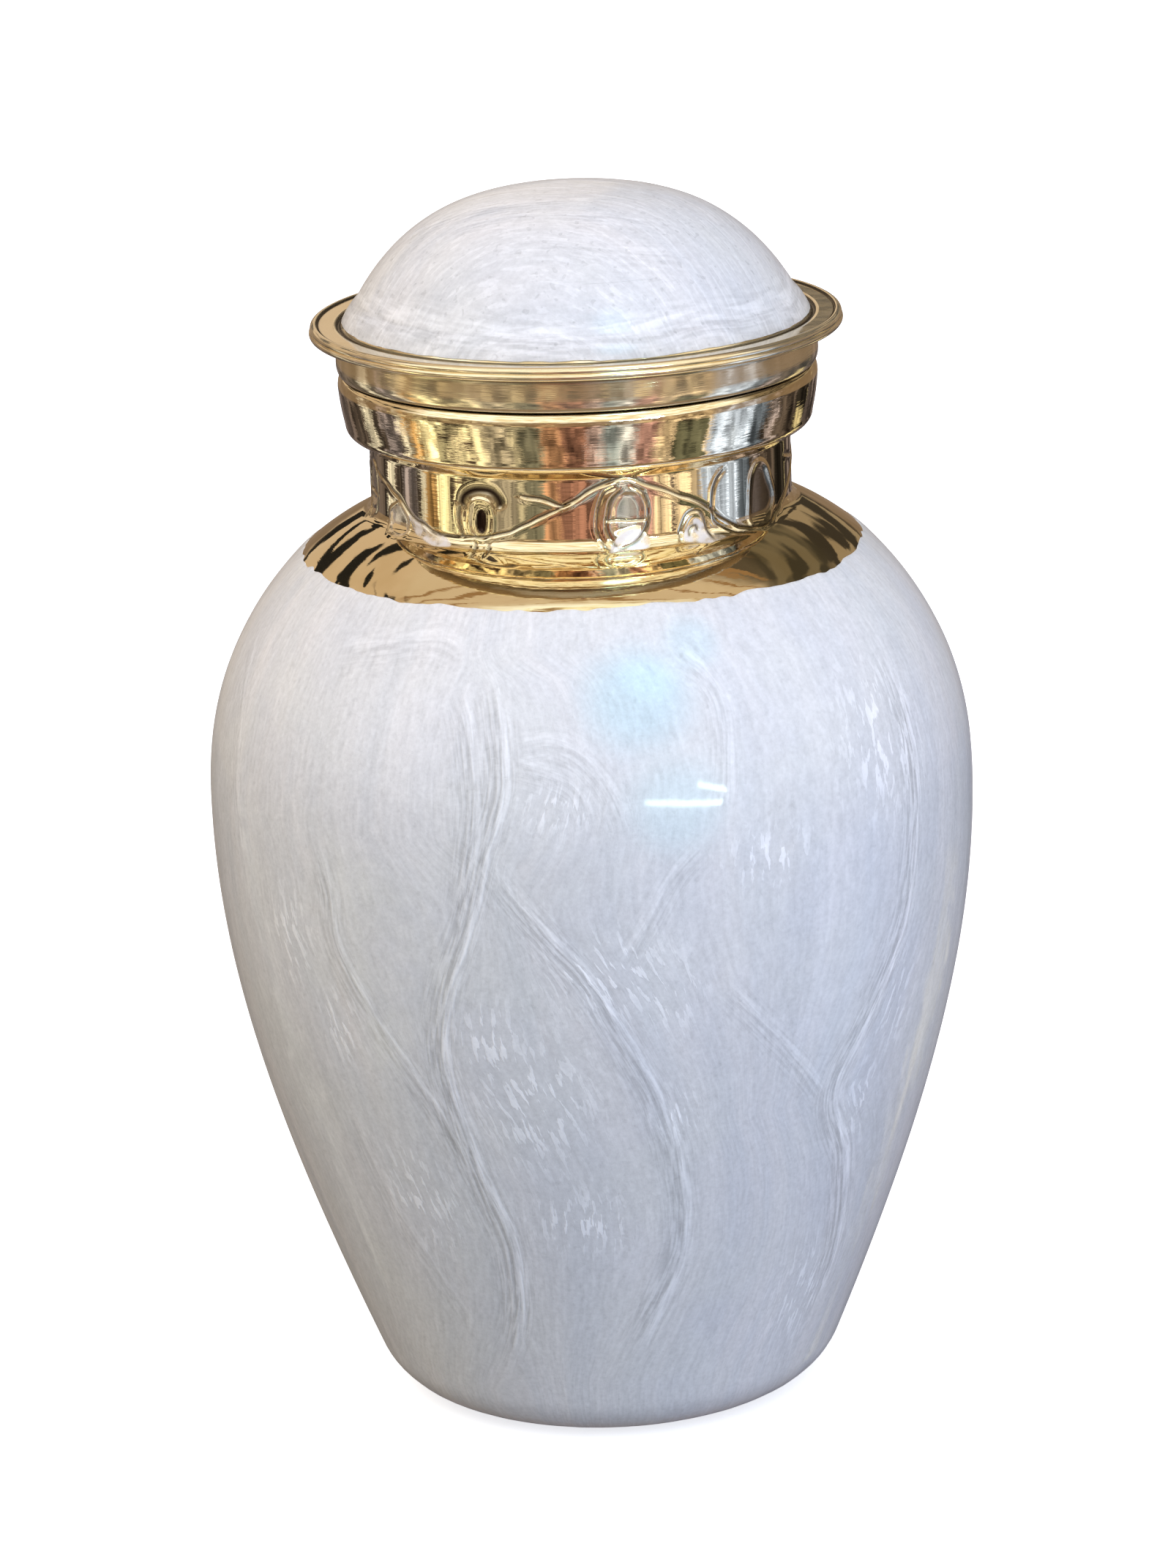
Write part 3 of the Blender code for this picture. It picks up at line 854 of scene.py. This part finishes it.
def coat(name, outline, at, angle, height, inner_rows, marks):
    """A thin ring on the outline, its outer side raised by the height, with its marks for the enamel."""
    section = at_length(outline, at, outline)
    square = at_length(outline, at, normals(outline))
    keep = np.linspace(len(at) - 1, 0, inner_rows).astype(int)
    obj = sleeve(name, section + square * height[..., None], (section - square * COAT)[keep], angle)
    fields, brush, fleck = marks
    for index, field in enumerate(fields):
        store(obj, f"stroke_{index}", field)
    store(obj, "brush", brush)
    store(obj, "fleck", fleck)
    return obj


def enamel_body():
    """The belly's coat, with a proud uneven edge on the shoulder and the brush's relief below it."""
    outline = coated_outline()
    total = lengths(outline)[-1]
    down = through(0.0, (1.2, 5), (total, 152))[:, None]
    angle = column_angles(COAT_COLUMNS)
    stray = ragged(PAINT_EDGE_RADIUS, angle, BELLY_EDGE) + 0.9
    at = np.clip(down + stray * np.exp(-down / WAVE_REACH), 0.0, total)
    section = at_length(outline, at, outline)
    points = around(section, angle).reshape(-1, 3)
    turns = np.tile(angle, len(at))
    ridge, fields, brush = belly_marks(turns, section.reshape(-1, 2), at.ravel(), points)
    step = EDGE_STEP * smooth(*STEP_END, down)
    height = step * (1.0 - np.exp(-down / EDGE_ROUNDING)) - SUNK * smooth(0.0, 10.0, down)
    height = height + (ridge.reshape(at.shape) - 0.02) * smooth(0.0, 4.0, down)
    height = np.minimum(height, 0.02 + 1.2 * step)
    height[0] = -0.1
    height *= smooth(total + 0.01, total - 1.2, at)
    fleck = fleck_mask(turns, points[:, 2])
    return coat("enamel_body", outline, at, angle, height, 18, (fields, brush, fleck))


def enamel_dome():
    """The dome's coat, which ends with an uneven edge at the brim."""
    outline = np.vstack((dome_curve(0.0, 120), brim_curve(24)))
    total = lengths(outline)[-1]
    out = through(0.3, (total - 1.0, 104), (total, 5))[:, None]
    angle = column_angles(DOME_COLUMNS)
    stray = ragged(BRIM_RADIUS, angle, DOME_EDGE) - 0.25
    at = np.clip(out + stray * np.exp((out - total) / 2.0), 0.0, total)
    points = around(at_length(outline, at, outline), angle).reshape(-1, 3)
    ridge, fields, brush = dome_marks(points)
    height = np.minimum((ridge.reshape(at.shape) - 0.10) * smooth(total, total - 3.0, out), 0.0)
    fleck = np.full(len(points), DOME_FLECKS)
    obj = coat("enamel_dome", outline, at, angle, height, 14, (fields, brush, fleck))
    obj.data.set_sharp_from_angle(angle=math.radians(SHARP_DOME))
    return obj


# Materials


BRASS = (0.90, 0.78, 0.56)
TARNISHED_BRASS = (0.83, 0.70, 0.47)
FROSTED_HIGHLIGHT_BRASS = (0.93, 0.87, 0.88)
# Dark patina in the engraved cuts, and painted shade in the crevices of the turned pieces
PATINA_AND_SHADE = (0.03, 0.018, 0.016)
COOL_PEARL = (0.775, 0.785, 0.815)
WARM_PEARL = (0.855, 0.845, 0.855)
CLOUDED_PEARL = (0.83, 0.835, 0.82)
# How much each kind of mark adds to the enamel's brightness; the dark line and the bank add painted shade
# and the pale line a painted highlight, as well as the paint's own tone
BRIGHTNESS = {
    "stipple": 0.27,
    "streak": 0.19,
    "grain": 0.29,
    "dabs": 0.36,
    "fan": 0.17,
    "dark": -0.05,
    "pale": 0.19,
    "bank": -0.09,
}
# Middle and width, in millimetres from a stroke, of its dark line and its pale line: partly the paint's own
# tone, partly painted shade and a painted highlight standing for the ridge's relief
STROKE_DARK = (0.55, 0.75)
STROKE_PALE = (-0.35, 1.3)
# Painted reflection: cool patches painted into the pearl where a light's glow reflects on the belly: place,
# reach and colour
PAINTED_GLOW_TINTS = [
    ((0.0092, -0.0698, 0.1660), 0.015, (0.66, 0.79, 0.85)),
    ((0.0200, -0.0600, 0.1740), 0.008, (0.72, 0.81, 0.86)),
    ((0.0160, -0.0757, 0.1455), 0.013, (0.73, 0.81, 0.85)),
]


class Nodes:
    """Short names for making and joining shader nodes."""

    def __init__(self, tree):
        self.tree = tree

    def put(self, value, socket):
        """Gives a socket a number, three numbers or another node's output."""
        if isinstance(value, (int, float)):
            socket.default_value = value
        elif isinstance(value, tuple):
            socket.default_value = (*value, 1.0)[: len(socket.default_value)]
        else:
            self.tree.links.new(value, socket)

    def fill(self, node, values):
        for key, value in values.items():
            self.put(value, node.inputs[key])

    def make(self, kind, values=None, **settings):
        """Adds a node with these settings and with these values in its sockets, by number or name."""
        node = self.tree.nodes.new("ShaderNode" + kind)
        for key, setting in settings.items():
            setattr(node, key, setting)
        self.fill(node, values or {})
        return node

    def math(self, operation, *values):
        return self.make("Math", dict(enumerate(values)), operation=operation).outputs[0]

    def times(self, first, second):
        return self.math("MULTIPLY", first, second)

    def plus_part(self, share, value, base):
        """The base and this share of the value."""
        return self.math("MULTIPLY_ADD", value, share, base)

    def vector_math(self, operation, *values, output="Vector"):
        node = self.make("VectorMath", dict(enumerate(values)), operation=operation)
        return node.outputs[output]

    def scaled(self, colour, share):
        return self.make("VectorMath", {0: colour, "Scale": share}, operation="SCALE").outputs[0]

    def vector(self, sockets):
        return self.make("CombineXYZ", sockets).outputs[0]

    def mix(self, share, first, second):
        return self.make("Mix", {0: share, 6: first, 7: second}, data_type="RGBA").outputs[2]

    def noise(self, vector, scale, detail=2.0, rough=0.5):
        """Smooth noise from 0 to 1. A scale of three numbers stretches it."""
        if isinstance(scale, tuple):
            vector = self.make("Mapping", {"Vector": vector, "Scale": scale}).outputs[0]
            scale = 1.0
        values = {"Vector": vector, "Scale": scale, "Detail": detail, "Roughness": rough}
        return self.make("TexNoise", values).outputs[0]

    def ramp(self, value, low, high, start=0.0, end=1.0):
        values = dict(enumerate((value, low, high, start, end)))
        return self.make("MapRange", values, interpolation_type="SMOOTHSTEP").outputs[0]

    def bump(self, height, distance, strength, after=None):
        node = self.make("Bump", {"Height": height, "Distance": distance, "Strength": strength})
        if after is not None:
            self.put(after, node.inputs["Normal"])
        return node.outputs[0]

    def attribute(self, name, output):
        return self.make("Attribute", attribute_name=name).outputs[output]


def new_material(name):
    """A material, its nodes and its shader."""
    material = bpy.data.materials.new(name)
    material.use_nodes = True
    return material, Nodes(material.node_tree), material.node_tree.nodes["Principled BSDF"]


def brass_material(name, smoothest, roughest, turning, metallic, frosted_and_highlighted=False):
    """Polished brass with turning marks, waves, tarnish, dark patina in cuts, painted shade in crevices, and
    maybe frosted leaves whose pale colour is a painted highlight.
    """
    material, nodes, shader = new_material(name)
    position = nodes.make("TexCoord").outputs["Object"]
    patina_and_shade = nodes.attribute("patina_and_shade", "Fac")
    tarnish = nodes.ramp(nodes.noise(position, 90.0, 3.0), 0.45, 0.75)
    colour = nodes.mix(tarnish, BRASS, TARNISHED_BRASS)
    rough = nodes.ramp(nodes.noise(position, 240.0, 4.0), 0.3, 0.8, smoothest, roughest)
    rough = nodes.plus_part(0.2, patina_and_shade, rough)
    if frosted_and_highlighted:
        frost_and_highlight = nodes.ramp(nodes.noise(position, 420.0), 0.35, 0.60, 0.35, 1.0)
        frost_and_highlight = nodes.times(nodes.attribute("frost_and_highlight", "Fac"), frost_and_highlight)
        # Painted highlight: the frosted leaves are made pale pinkish white
        colour = nodes.mix(frost_and_highlight, colour, FROSTED_HIGHLIGHT_BRASS)
        rough = nodes.plus_part(0.42, frost_and_highlight, rough)
        metallic = nodes.plus_part(-0.75 * metallic, frost_and_highlight, metallic)
    turning_marks = nodes.noise(position, (60.0, 60.0, 1500.0), 3.0, 0.6)
    waves = nodes.noise(position, (150.0, 150.0, 70.0))
    nodes.fill(shader, {
        "Base Color": nodes.mix(patina_and_shade, colour, PATINA_AND_SHADE),
        "Roughness": rough,
        "Metallic": metallic,
        "Normal": nodes.bump(waves, 0.00016, 0.25, nodes.bump(turning_marks, 0.00005, turning)),
    })
    return material


def stroke_marks(nodes, name):
    """Along a set of strokes: a dark line of painted shade, a pale line of painted highlight, a fan of
    streaks and a bank to the right with painted shade. The lines carry the paint's own tone as well.
    """
    away, along, strength = nodes.make("SeparateXYZ", {0: nodes.attribute(name, "Vector")}).outputs
    marks = {}
    for kind, (middle, width) in (("dark", STROKE_DARK), ("pale", STROKE_PALE)):
        off = nodes.math("ABSOLUTE", nodes.math("SUBTRACT", away, middle))
        marks[kind] = nodes.ramp(off, 0.0, width, 1.0, 0.0)
    streaks = nodes.noise(nodes.vector({0: away, 1: along}), (1.35, 0.11, 1.0))
    streaks = nodes.ramp(streaks, 0.36, 0.64, -1.0, 1.0)
    fade = nodes.times(nodes.ramp(away, -5.0, 0.6), nodes.ramp(away, 0.4, 8.0, 1.0, 0.0))
    marks["fan"] = nodes.times(streaks, fade)
    marks["bank"] = nodes.times(nodes.ramp(away, -0.5, 0.5), nodes.ramp(away, 0.5, 9.0, 1.0, 0.0))
    return {kind: nodes.times(mark, strength) for kind, mark in marks.items()}


def enamel_material(name, base, pitting):
    """Pearl enamel: soft tones along the brush's way, a fine stipple, the marks of the strokes with their
    painted shade and highlight, and cool patches of painted reflection.
    """
    material, nodes, shader = new_material(name)
    position = nodes.make("TexCoord").outputs["Object"]
    brush = nodes.attribute("brush", "Vector")
    streak = nodes.noise(brush, (0.9, 0.9, 0.05), 4.0, 0.65)
    chalk = nodes.noise(brush, (0.85, 0.85, 0.20), 3.0)
    marks = [
        ("stipple", nodes.noise(position, 1150.0, 2.0, 0.6)),
        ("streak", streak),
        ("grain", nodes.noise(brush, (0.8, 0.8, 0.27))),
        ("dabs", nodes.times(nodes.ramp(chalk, 0.545, 0.60), nodes.attribute("fleck", "Fac"))),
    ]
    for index in range(STROKE_SETS):
        marks += stroke_marks(nodes, f"stroke_{index}").items()
    bright = nodes.times(nodes.ramp(nodes.noise(position, 620.0, 1.0), 0.66, 0.71), -pitting)
    for kind, mark in marks:
        bright = nodes.plus_part(BRIGHTNESS[kind], mark, bright)

    broad = nodes.ramp(nodes.noise(brush, (0.10, 0.10, 0.010), 3.0), 0.3, 0.7)
    cloud = nodes.ramp(nodes.noise(position, 45.0), 0.35, 0.7, 0.0, 0.5)
    colour = nodes.mix(cloud, nodes.mix(broad, COOL_PEARL, WARM_PEARL), CLOUDED_PEARL)
    # Painted reflection: cool patches where a light's glow shows on the belly
    for centre, reach, glow_tint in PAINTED_GLOW_TINTS:
        away = nodes.vector_math("DISTANCE", position, centre, output="Value")
        colour = nodes.mix(nodes.ramp(away, 0.3 * reach, reach, 1.0, 0.0), colour, glow_tint)
    nodes.fill(shader, {
        "Base Color": nodes.scaled(colour, nodes.math("ADD", bright, base)),
        "Roughness": nodes.ramp(streak, 0.3, 0.7, 0.34, 0.46),
        "Coat Weight": 0.4,
        "Coat Roughness": 0.07,
        "Specular IOR Level": 0.5,
        "Normal": nodes.bump(bright, 0.00030, 0.45),
    })
    return material


# Studio


ROOM = {
    "shade": (0.14, 0.11, 0.10),
    "umber": (0.09, 0.07, 0.06),
    "cream": (0.85, 0.80, 0.68),
    "plum": (0.38, 0.33, 0.36),
    "amber": (0.62, 0.38, 0.16),
    "lamp": (1.30, 1.18, 0.74),
    "louvre": (0.95, 0.85, 0.55),
    "edge": (0.95, 0.85, 0.60),
    "stone": (0.48, 0.42, 0.32),
    "olive": (0.24, 0.23, 0.17),
    "clay": (0.62, 0.34, 0.20),
    "brick": (0.30, 0.15, 0.11),
    "blush": (0.62, 0.46, 0.46),
    "sage": (0.33, 0.39, 0.44),
    "mist": (0.66, 0.68, 0.74),
    "rose": (0.60, 0.35, 0.32),
    "tan": (0.97, 0.78, 0.55),
    "window": (0.78, 0.96, 1.38),
    "slate": (0.22, 0.28, 0.40),
    "straw": (0.80, 0.68, 0.38),
    "louvre gap": (0.10, 0.07, 0.05),
    "box": (0.12, 0.12, 0.08),
    "corner": (0.03, 0.025, 0.02),
    "rail": (0.34, 0.235, 0.14),
    "dark square": (0.10, 0.08, 0.05),
    "light square": (0.98, 0.80, 0.50),
    "ground": (0.27, 0.19, 0.115),
    "left loft": (0.66, 0.50, 0.33),
    "left beam": (0.02, 0.018, 0.015),
    "shelf": (0.34, 0.26, 0.16),
    "shelf gap": (0.05, 0.04, 0.028),
    "murk": (0.19, 0.15, 0.09),
    "deep murk": (0.06, 0.05, 0.033),
    "back loft": (0.78, 0.62, 0.42),
    "back beam": (0.34, 0.21, 0.11),
    "front loft": (1.65, 1.65, 1.60),
    "front band": (0.95, 0.80, 0.50),
    "warm ceiling": (1.10, 1.00, 0.62),
    "bright ceiling": (1.30, 1.35, 1.25),
    "gold ceiling": (0.68, 0.54, 0.37),
    "dark ceiling": (0.11, 0.085, 0.055),
    "ceiling beam": (0.34, 0.20, 0.09),
    "glow": (2.6, 5.6, 7.2),
}
# Where each plain strip of the room starts, in degrees round the urn from the camera's side, towards +X
STRIPS = [
    (-180, "shade"), (-150, "umber"), (-130, "cream"), (-121, "umber"), (-113, "plum"), (-104, "umber"),
    (-101, "cream"), (-97, "amber"), (-88, "lamp"), (-73, "louvre"), (-54, "edge"), (-51, "stone"),
    (-36, "edge"), (-31, "olive"), (-20, "clay"), (-11, "brick"), (4, "blush"), (10, "sage"),
    (20, "mist"), (27, "rose"), (39, "tan"), (48, "umber"), (51, "tan"), (68, "window"), (94, "slate"),
    (103, "umber"), (108, "plum"), (113, "umber"), (134, "straw"), (145, "shade"),
]
# Rectangles of the walls in degrees: left, right, low and high
LOUVRES = (-76.0, -55.0, -60.0, 10.0)
DARK_THINGS = {"box": (49.0, 67.0, -60.0, -19.5), "corner": (131.0, 147.0, -18.2, 10.0)}
SQUARES = (-110.0, 64.0, -8.8, -4.6)
# In degrees: a soft edge's half width, the rail's bottom with how much the rail covers of what is behind,
# and from where to where one part of the room changes into the next
BLUR = 0.5
RAIL_BOTTOM = -11.3
RAIL_COVER = 0.68
GROUND_EDGE = (-42.0, -36.0)
LOFT_EDGE = (3.0, 7.0)
SHELVES_EDGE = (26.0, 32.0)
CEILING_EDGE = (46.0, 52.0)
# A soft glow high in front, to the right, as azimuth, elevation and reach in degrees
GLOW = (26.0, 51.0, 11.0)
# The light that dull surfaces get: an even glow, and broad soft lamps as azimuth, elevation and colour
EVEN_GLOW = (0.01, 0.01, 0.01)
SOFT_LAMPS = [
    (0.0, 60.0, (1.53, 1.51, 1.77)),
    (0.0, 20.0, (0.36, 0.40, 0.36)),
    (50.0, 0.0, (0.65, 0.82, 1.06)),
    (110.0, 15.0, (0.23, 0.16, 0.02)),
    (150.0, 20.0, (0.52, 0.62, 0.62)),
    (-150.0, 0.0, (0.08, 0.22, 0.60)),
    (-120.0, 10.0, (0.90, 0.64, 0.18)),
    (-105.0, 40.0, (0.60, 0.58, 0.52)),
    (90.0, -30.0, (0.08, 0.05, 0.22)),
]
LAMP_FOCUS = 3.0
# Thin bright strips that only show as reflections: azimuth, elevation, width, height, how far the right
# end hangs, all in degrees, and power
STRIP_LIGHTS = {
    "low_strip": (26.0, 6.4, 23.0, 1.9, 9.5, 7.5),
    "high_strip": (35.5, 10.0, 10.0, 1.9, 25.0, 3.4),
}
STRIP_LIGHT_COLOUR = (0.72, 1.0, 0.97)
STRIP_LIGHT_DISTANCE = 2.2
FLOOR_SIZE = 6.0
# The camera's pitch and roll in degrees, its distance, aim and shift to the side in metres, and its lens
# and sensor in millimetres
CAMERA_PITCH = 16.0
CAMERA_ROLL = 2.0
CAMERA_DISTANCE = 1.2214
CAMERA_AIM = 0.129
CAMERA_SHIFT = -0.0008
CAMERA_LENS = 134.46
CAMERA_SENSOR = 36.0


def on_sphere(azimuth, elevation):
    """The way to this place in the room, with both angles in degrees."""
    a, e = math.radians(azimuth), math.radians(elevation)
    return math.sin(a) * math.cos(e), -math.cos(a) * math.cos(e), math.sin(e)


class Room(Nodes):
    """The world's shader nodes, with the way looked in and its two angles in degrees."""

    def __init__(self, tree):
        super().__init__(tree)
        self.way = self.make("TexCoord").outputs["Generated"]
        self.x, self.y, z = self.make("SeparateXYZ", {0: self.way}).outputs
        azimuth = self.math("ARCTAN2", self.x, self.times(self.y, -1.0))
        self.azimuth = self.times(azimuth, 180.0 / math.pi)
        self.elevation = self.times(self.math("ARCSINE", z), 180.0 / math.pi)
        self.wall = self.vector({0: self.azimuth, 2: self.elevation})

    def put(self, value, socket):
        """Takes a colour of the room by its name, too."""
        super().put(ROOM[value] if isinstance(value, str) else value, socket)

    def inside(self, left, right, low, high):
        """1 inside a rectangle of the room, and 0 outside."""
        made = 1.0
        for value, start, end in ((self.azimuth, left, right), (self.elevation, low, high)):
            made = self.times(self.ramp(value, start - BLUR, start + BLUR), made)
            made = self.times(self.ramp(value, end - BLUR, end + BLUR, 1.0, 0.0), made)
        return made

    def facing(self, azimuth, elevation):
        """How nearly a way points to this place in the room, from -1 to 1."""
        return self.vector_math("DOT_PRODUCT", self.way, on_sphere(azimuth, elevation), output="Value")

    def soft_light(self):
        light = EVEN_GLOW
        for azimuth, elevation, colour in SOFT_LAMPS:
            share = self.math("MAXIMUM", self.facing(azimuth, elevation), 0.0)
            light = self.vector_math("MULTIPLY_ADD", colour, self.math("POWER", share, LAMP_FOCUS), light)
        return light

    def strips(self):
        """Upright strips of plain colour with uneven edges."""
        place = self.plus_part(1.0 / 360.0, self.azimuth, 0.5)
        wander = self.noise(self.way, (3.0, 3.0, 9.0), 3.0)
        teeth = self.noise(self.wall, (0.03, 1.0, 0.8))
        for field, reach in ((wander, 0.010), (teeth, 0.07)):
            place = self.math("ADD", place, self.plus_part(reach, field, -0.5 * reach))
        node = self.make("ValToRGB", {0: place})
        node.color_ramp.interpolation = "CONSTANT"
        elements = node.color_ramp.elements
        while len(elements) < len(STRIPS):
            elements.new(0.5)
        for element, (start, _) in zip(elements, STRIPS):
            element.position = (start + 180.0) / 360.0
        for element, (_, colour) in zip(elements, STRIPS):
            element.color = (*ROOM[colour], 1.0)
        return node.outputs[0]

    def panes(self):
        """Three random numbers from 0 to 1 for each of many upright rectangles."""
        at = self.make("Mapping", {"Vector": self.wall, "Scale": (0.19, 1.0, 0.17)}).outputs[0]
        values = {"Vector": at, "Scale": 1.0, "Randomness": 0.8}
        node = self.make("TexVoronoi", values, distance="CHEBYCHEV")
        return self.make("SeparateColor", {0: node.outputs["Color"]}).outputs

    def walls(self):
        """Mottled strips with louvres and dark things, and above them a rail with small squares."""
        shade, framed, lit = self.panes()
        slat = self.ramp(self.noise(self.wall, (0.05, 1.0, 0.42), 1.0), 0.46, 0.54)
        walls = self.mix(self.times(slat, self.inside(*LOUVRES)), self.strips(), "louvre gap")
        for name, limits in DARK_THINGS.items():
            walls = self.mix(self.inside(*limits), walls, name)
        mottle = self.ramp(self.noise(self.way, (11.0, 11.0, 6.0), 4.0, 0.6), 0.34, 0.66, 0.40, 1.5)
        walls = self.scaled(walls, self.times(mottle, self.ramp(shade, 0.1, 0.9, 0.5, 1.45)))
        above = self.ramp(self.elevation, RAIL_BOTTOM - BLUR, RAIL_BOTTOM + BLUR, 0.0, RAIL_COVER)
        walls = self.mix(above, walls, "rail")
        square = self.mix(self.ramp(lit, 0.45, 0.50), "dark square", "light square")
        framed = self.times(self.inside(*SQUARES), self.ramp(framed, 0.40, 0.45, 0.0, 0.8))
        walls = self.mix(framed, walls, square)
        return self.mix(self.ramp(self.elevation, *GROUND_EDGE, 1.0, 0.0), walls, "ground")

    def loft(self):
        """Above the walls: wavy bands of light and dark behind, and bright ones in front."""
        wavy = self.noise(self.vector({0: self.x, 2: self.elevation}), (3.2, 1.0, 0.21), 1.0)
        beams = self.times(self.ramp(wavy, 0.52, 0.55), self.ramp(self.x, -0.13, -0.09, 1.0, 0.0))
        left = self.mix(beams, "left loft", "left beam")
        shelves = self.mix(self.ramp(wavy, 0.46, 0.54), "shelf", "shelf gap")
        murk = self.mix(self.ramp(wavy, 0.40, 0.56), "murk", "deep murk")
        right = self.mix(self.ramp(self.elevation, *SHELVES_EDGE), shelves, murk)
        middle = self.mix(self.ramp(wavy, 0.50, 0.58), "back loft", "back beam")
        back = self.mix(self.ramp(self.x, -0.036, -0.018), left, middle)
        back = self.mix(self.ramp(self.x, 0.018, 0.036), back, right)
        front = self.mix(self.ramp(wavy, 0.40, 0.60), "front loft", "front band")
        return self.mix(self.ramp(self.y, -0.25, 0.10, 1.0, 0.0), back, front)

    def ceiling(self):
        """Bright in front, gold behind and dark behind to the right, with thin brown beams."""
        streaks = self.noise(self.way, (1.4, 21.0, 2.0))
        plain = self.mix(self.ramp(streaks, 0.40, 0.56), "warm ceiling", "bright ceiling")
        plain = self.mix(self.ramp(self.y, -0.12, 0.06), plain, "gold ceiling")
        aside = self.times(self.ramp(self.x, 0.14, 0.30), self.ramp(self.y, 0.20, 0.40))
        plain = self.mix(aside, plain, "dark ceiling")
        return self.mix(self.ramp(streaks, 0.38, 0.46, 1.0, 0.0), plain, "ceiling beam")

    def mirrored(self):
        """The whole room, which only mirror-like rays see."""
        room = self.mix(self.ramp(self.elevation, *LOFT_EDGE), self.walls(), self.loft())
        room = self.mix(self.ramp(self.elevation, *CEILING_EDGE), room, self.ceiling())
        azimuth, elevation, reach = GLOW
        glow = self.ramp(self.facing(azimuth, elevation), math.cos(math.radians(reach)), 1.0)
        return self.mix(glow, room, "glow")


def world_light():
    """White behind the urn, the room for mirror-like rays, and soft light for all others."""
    world = bpy.data.worlds.new("studio")
    bpy.context.scene.world = world
    world.use_nodes = True
    room = Room(world.node_tree)
    path = room.make("LightPath").outputs
    shown = room.mix(path["Is Glossy Ray"], room.soft_light(), room.mirrored())
    shown = room.mix(path["Is Camera Ray"], shown, (1.0, 1.0, 1.0))
    room.fill(world.node_tree.nodes["Background"], {"Color": shown})


def floor():
    corners = [(FLOOR_SIZE * x, FLOOR_SIZE * y, 0.0) for x, y in ((-1, -1), (1, -1), (1, 1), (-1, 1))]
    mesh = bpy.data.meshes.new("floor")
    mesh.from_pydata(corners, [], [(0, 1, 2, 3)])
    obj = bpy.data.objects.new("floor", mesh)
    bpy.context.collection.objects.link(obj)
    material, nodes, shader = new_material("pale_floor")
    nodes.fill(shader, {
        "Base Color": (0.93, 0.93, 0.93),
        "Roughness": 0.9,
        "Specular IOR Level": 0.0,
        "Emission Color": (1.0, 1.0, 1.0),
        "Emission Strength": 0.6,
    })
    mesh.materials.append(material)
    obj.visible_glossy = False
    obj.visible_diffuse = False


def strip_light(name, azimuth, elevation, wide, tall, lean, power):
    data = bpy.data.lights.new(name, "AREA")
    data.shape = "RECTANGLE"
    data.size = STRIP_LIGHT_DISTANCE * math.radians(wide)
    data.size_y = STRIP_LIGHT_DISTANCE * math.radians(tall)
    data.energy = power
    data.color = STRIP_LIGHT_COLOUR
    obj = bpy.data.objects.new(name, data)
    way = np.array(on_sphere(azimuth, elevation))
    place = STRIP_LIGHT_DISTANCE * way + (0.0, 0.0, BELLY_HEIGHT * MM)
    side = np.cross((0.0, 0.0, 1.0), way)
    side /= np.linalg.norm(side)
    up = np.cross(way, side)
    turn = math.radians(lean)
    side, up = math.cos(turn) * side - math.sin(turn) * up, math.cos(turn) * up + math.sin(turn) * side
    rows = [[side[i], up[i], way[i], place[i]] for i in range(3)]
    obj.matrix_world = Matrix([*rows, [0.0, 0.0, 0.0, 1.0]])
    obj.visible_diffuse = False
    bpy.context.collection.objects.link(obj)


def camera():
    data = bpy.data.cameras.new("camera")
    data.lens = CAMERA_LENS
    data.sensor_width = CAMERA_SENSOR
    obj = bpy.data.objects.new("camera", data)
    bpy.context.collection.objects.link(obj)
    pitch = math.radians(CAMERA_PITCH)
    back, up = CAMERA_DISTANCE * math.cos(pitch), CAMERA_DISTANCE * math.sin(pitch)
    place = Matrix.Translation((CAMERA_SHIFT, -back, CAMERA_AIM + up))
    tilt = Matrix.Rotation(0.5 * math.pi - pitch, 4, "X")
    obj.matrix_world = place @ tilt @ Matrix.Rotation(-math.radians(CAMERA_ROLL), 4, "Z")
    bpy.context.scene.camera = obj


def main():
    bpy.context.scene.view_settings.view_transform = "Standard"
    camera()
    world_light()
    floor()
    for name, values in STRIP_LIGHTS.items():
        strip_light(name, *values)

    # The numbers are the smoothest and the roughest finish, the turning marks' depth and how metallic it is
    brass = brass_material("polished_brass_looks", 0.02, 0.05, 0.5, 1.0)
    lid_brass = brass_material("lid_brass_looks", 0.07, 0.14, 0.5, 0.87)
    cut_brass = brass_material("engraved_brass_looks", 0.02, 0.05, 0.15, 1.0, frosted_and_highlighted=True)
    # And here the brightness without marks, and how dark the pits are
    belly_enamel = enamel_material("belly_enamel_looks", 0.640, 0.05)
    dome_enamel = enamel_material("dome_enamel_looks", 0.597, 0.13)
    pieces = [
        (vessel_wall(), brass, "polished_brass", "urn_body"),
        (engraved_neck(), cut_brass, "polished_brass", "urn_body"),
        (enamel_body(), belly_enamel, "pearl_enamel", "urn_body"),
        (lid_metal(), lid_brass, "polished_brass", "urn_lid"),
        (enamel_dome(), dome_enamel, "pearl_enamel", "urn_lid"),
    ]
    for piece, material, slot, node in pieces:
        piece.data.materials.append(material)
        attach(piece, "root")
        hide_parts(node)


main()
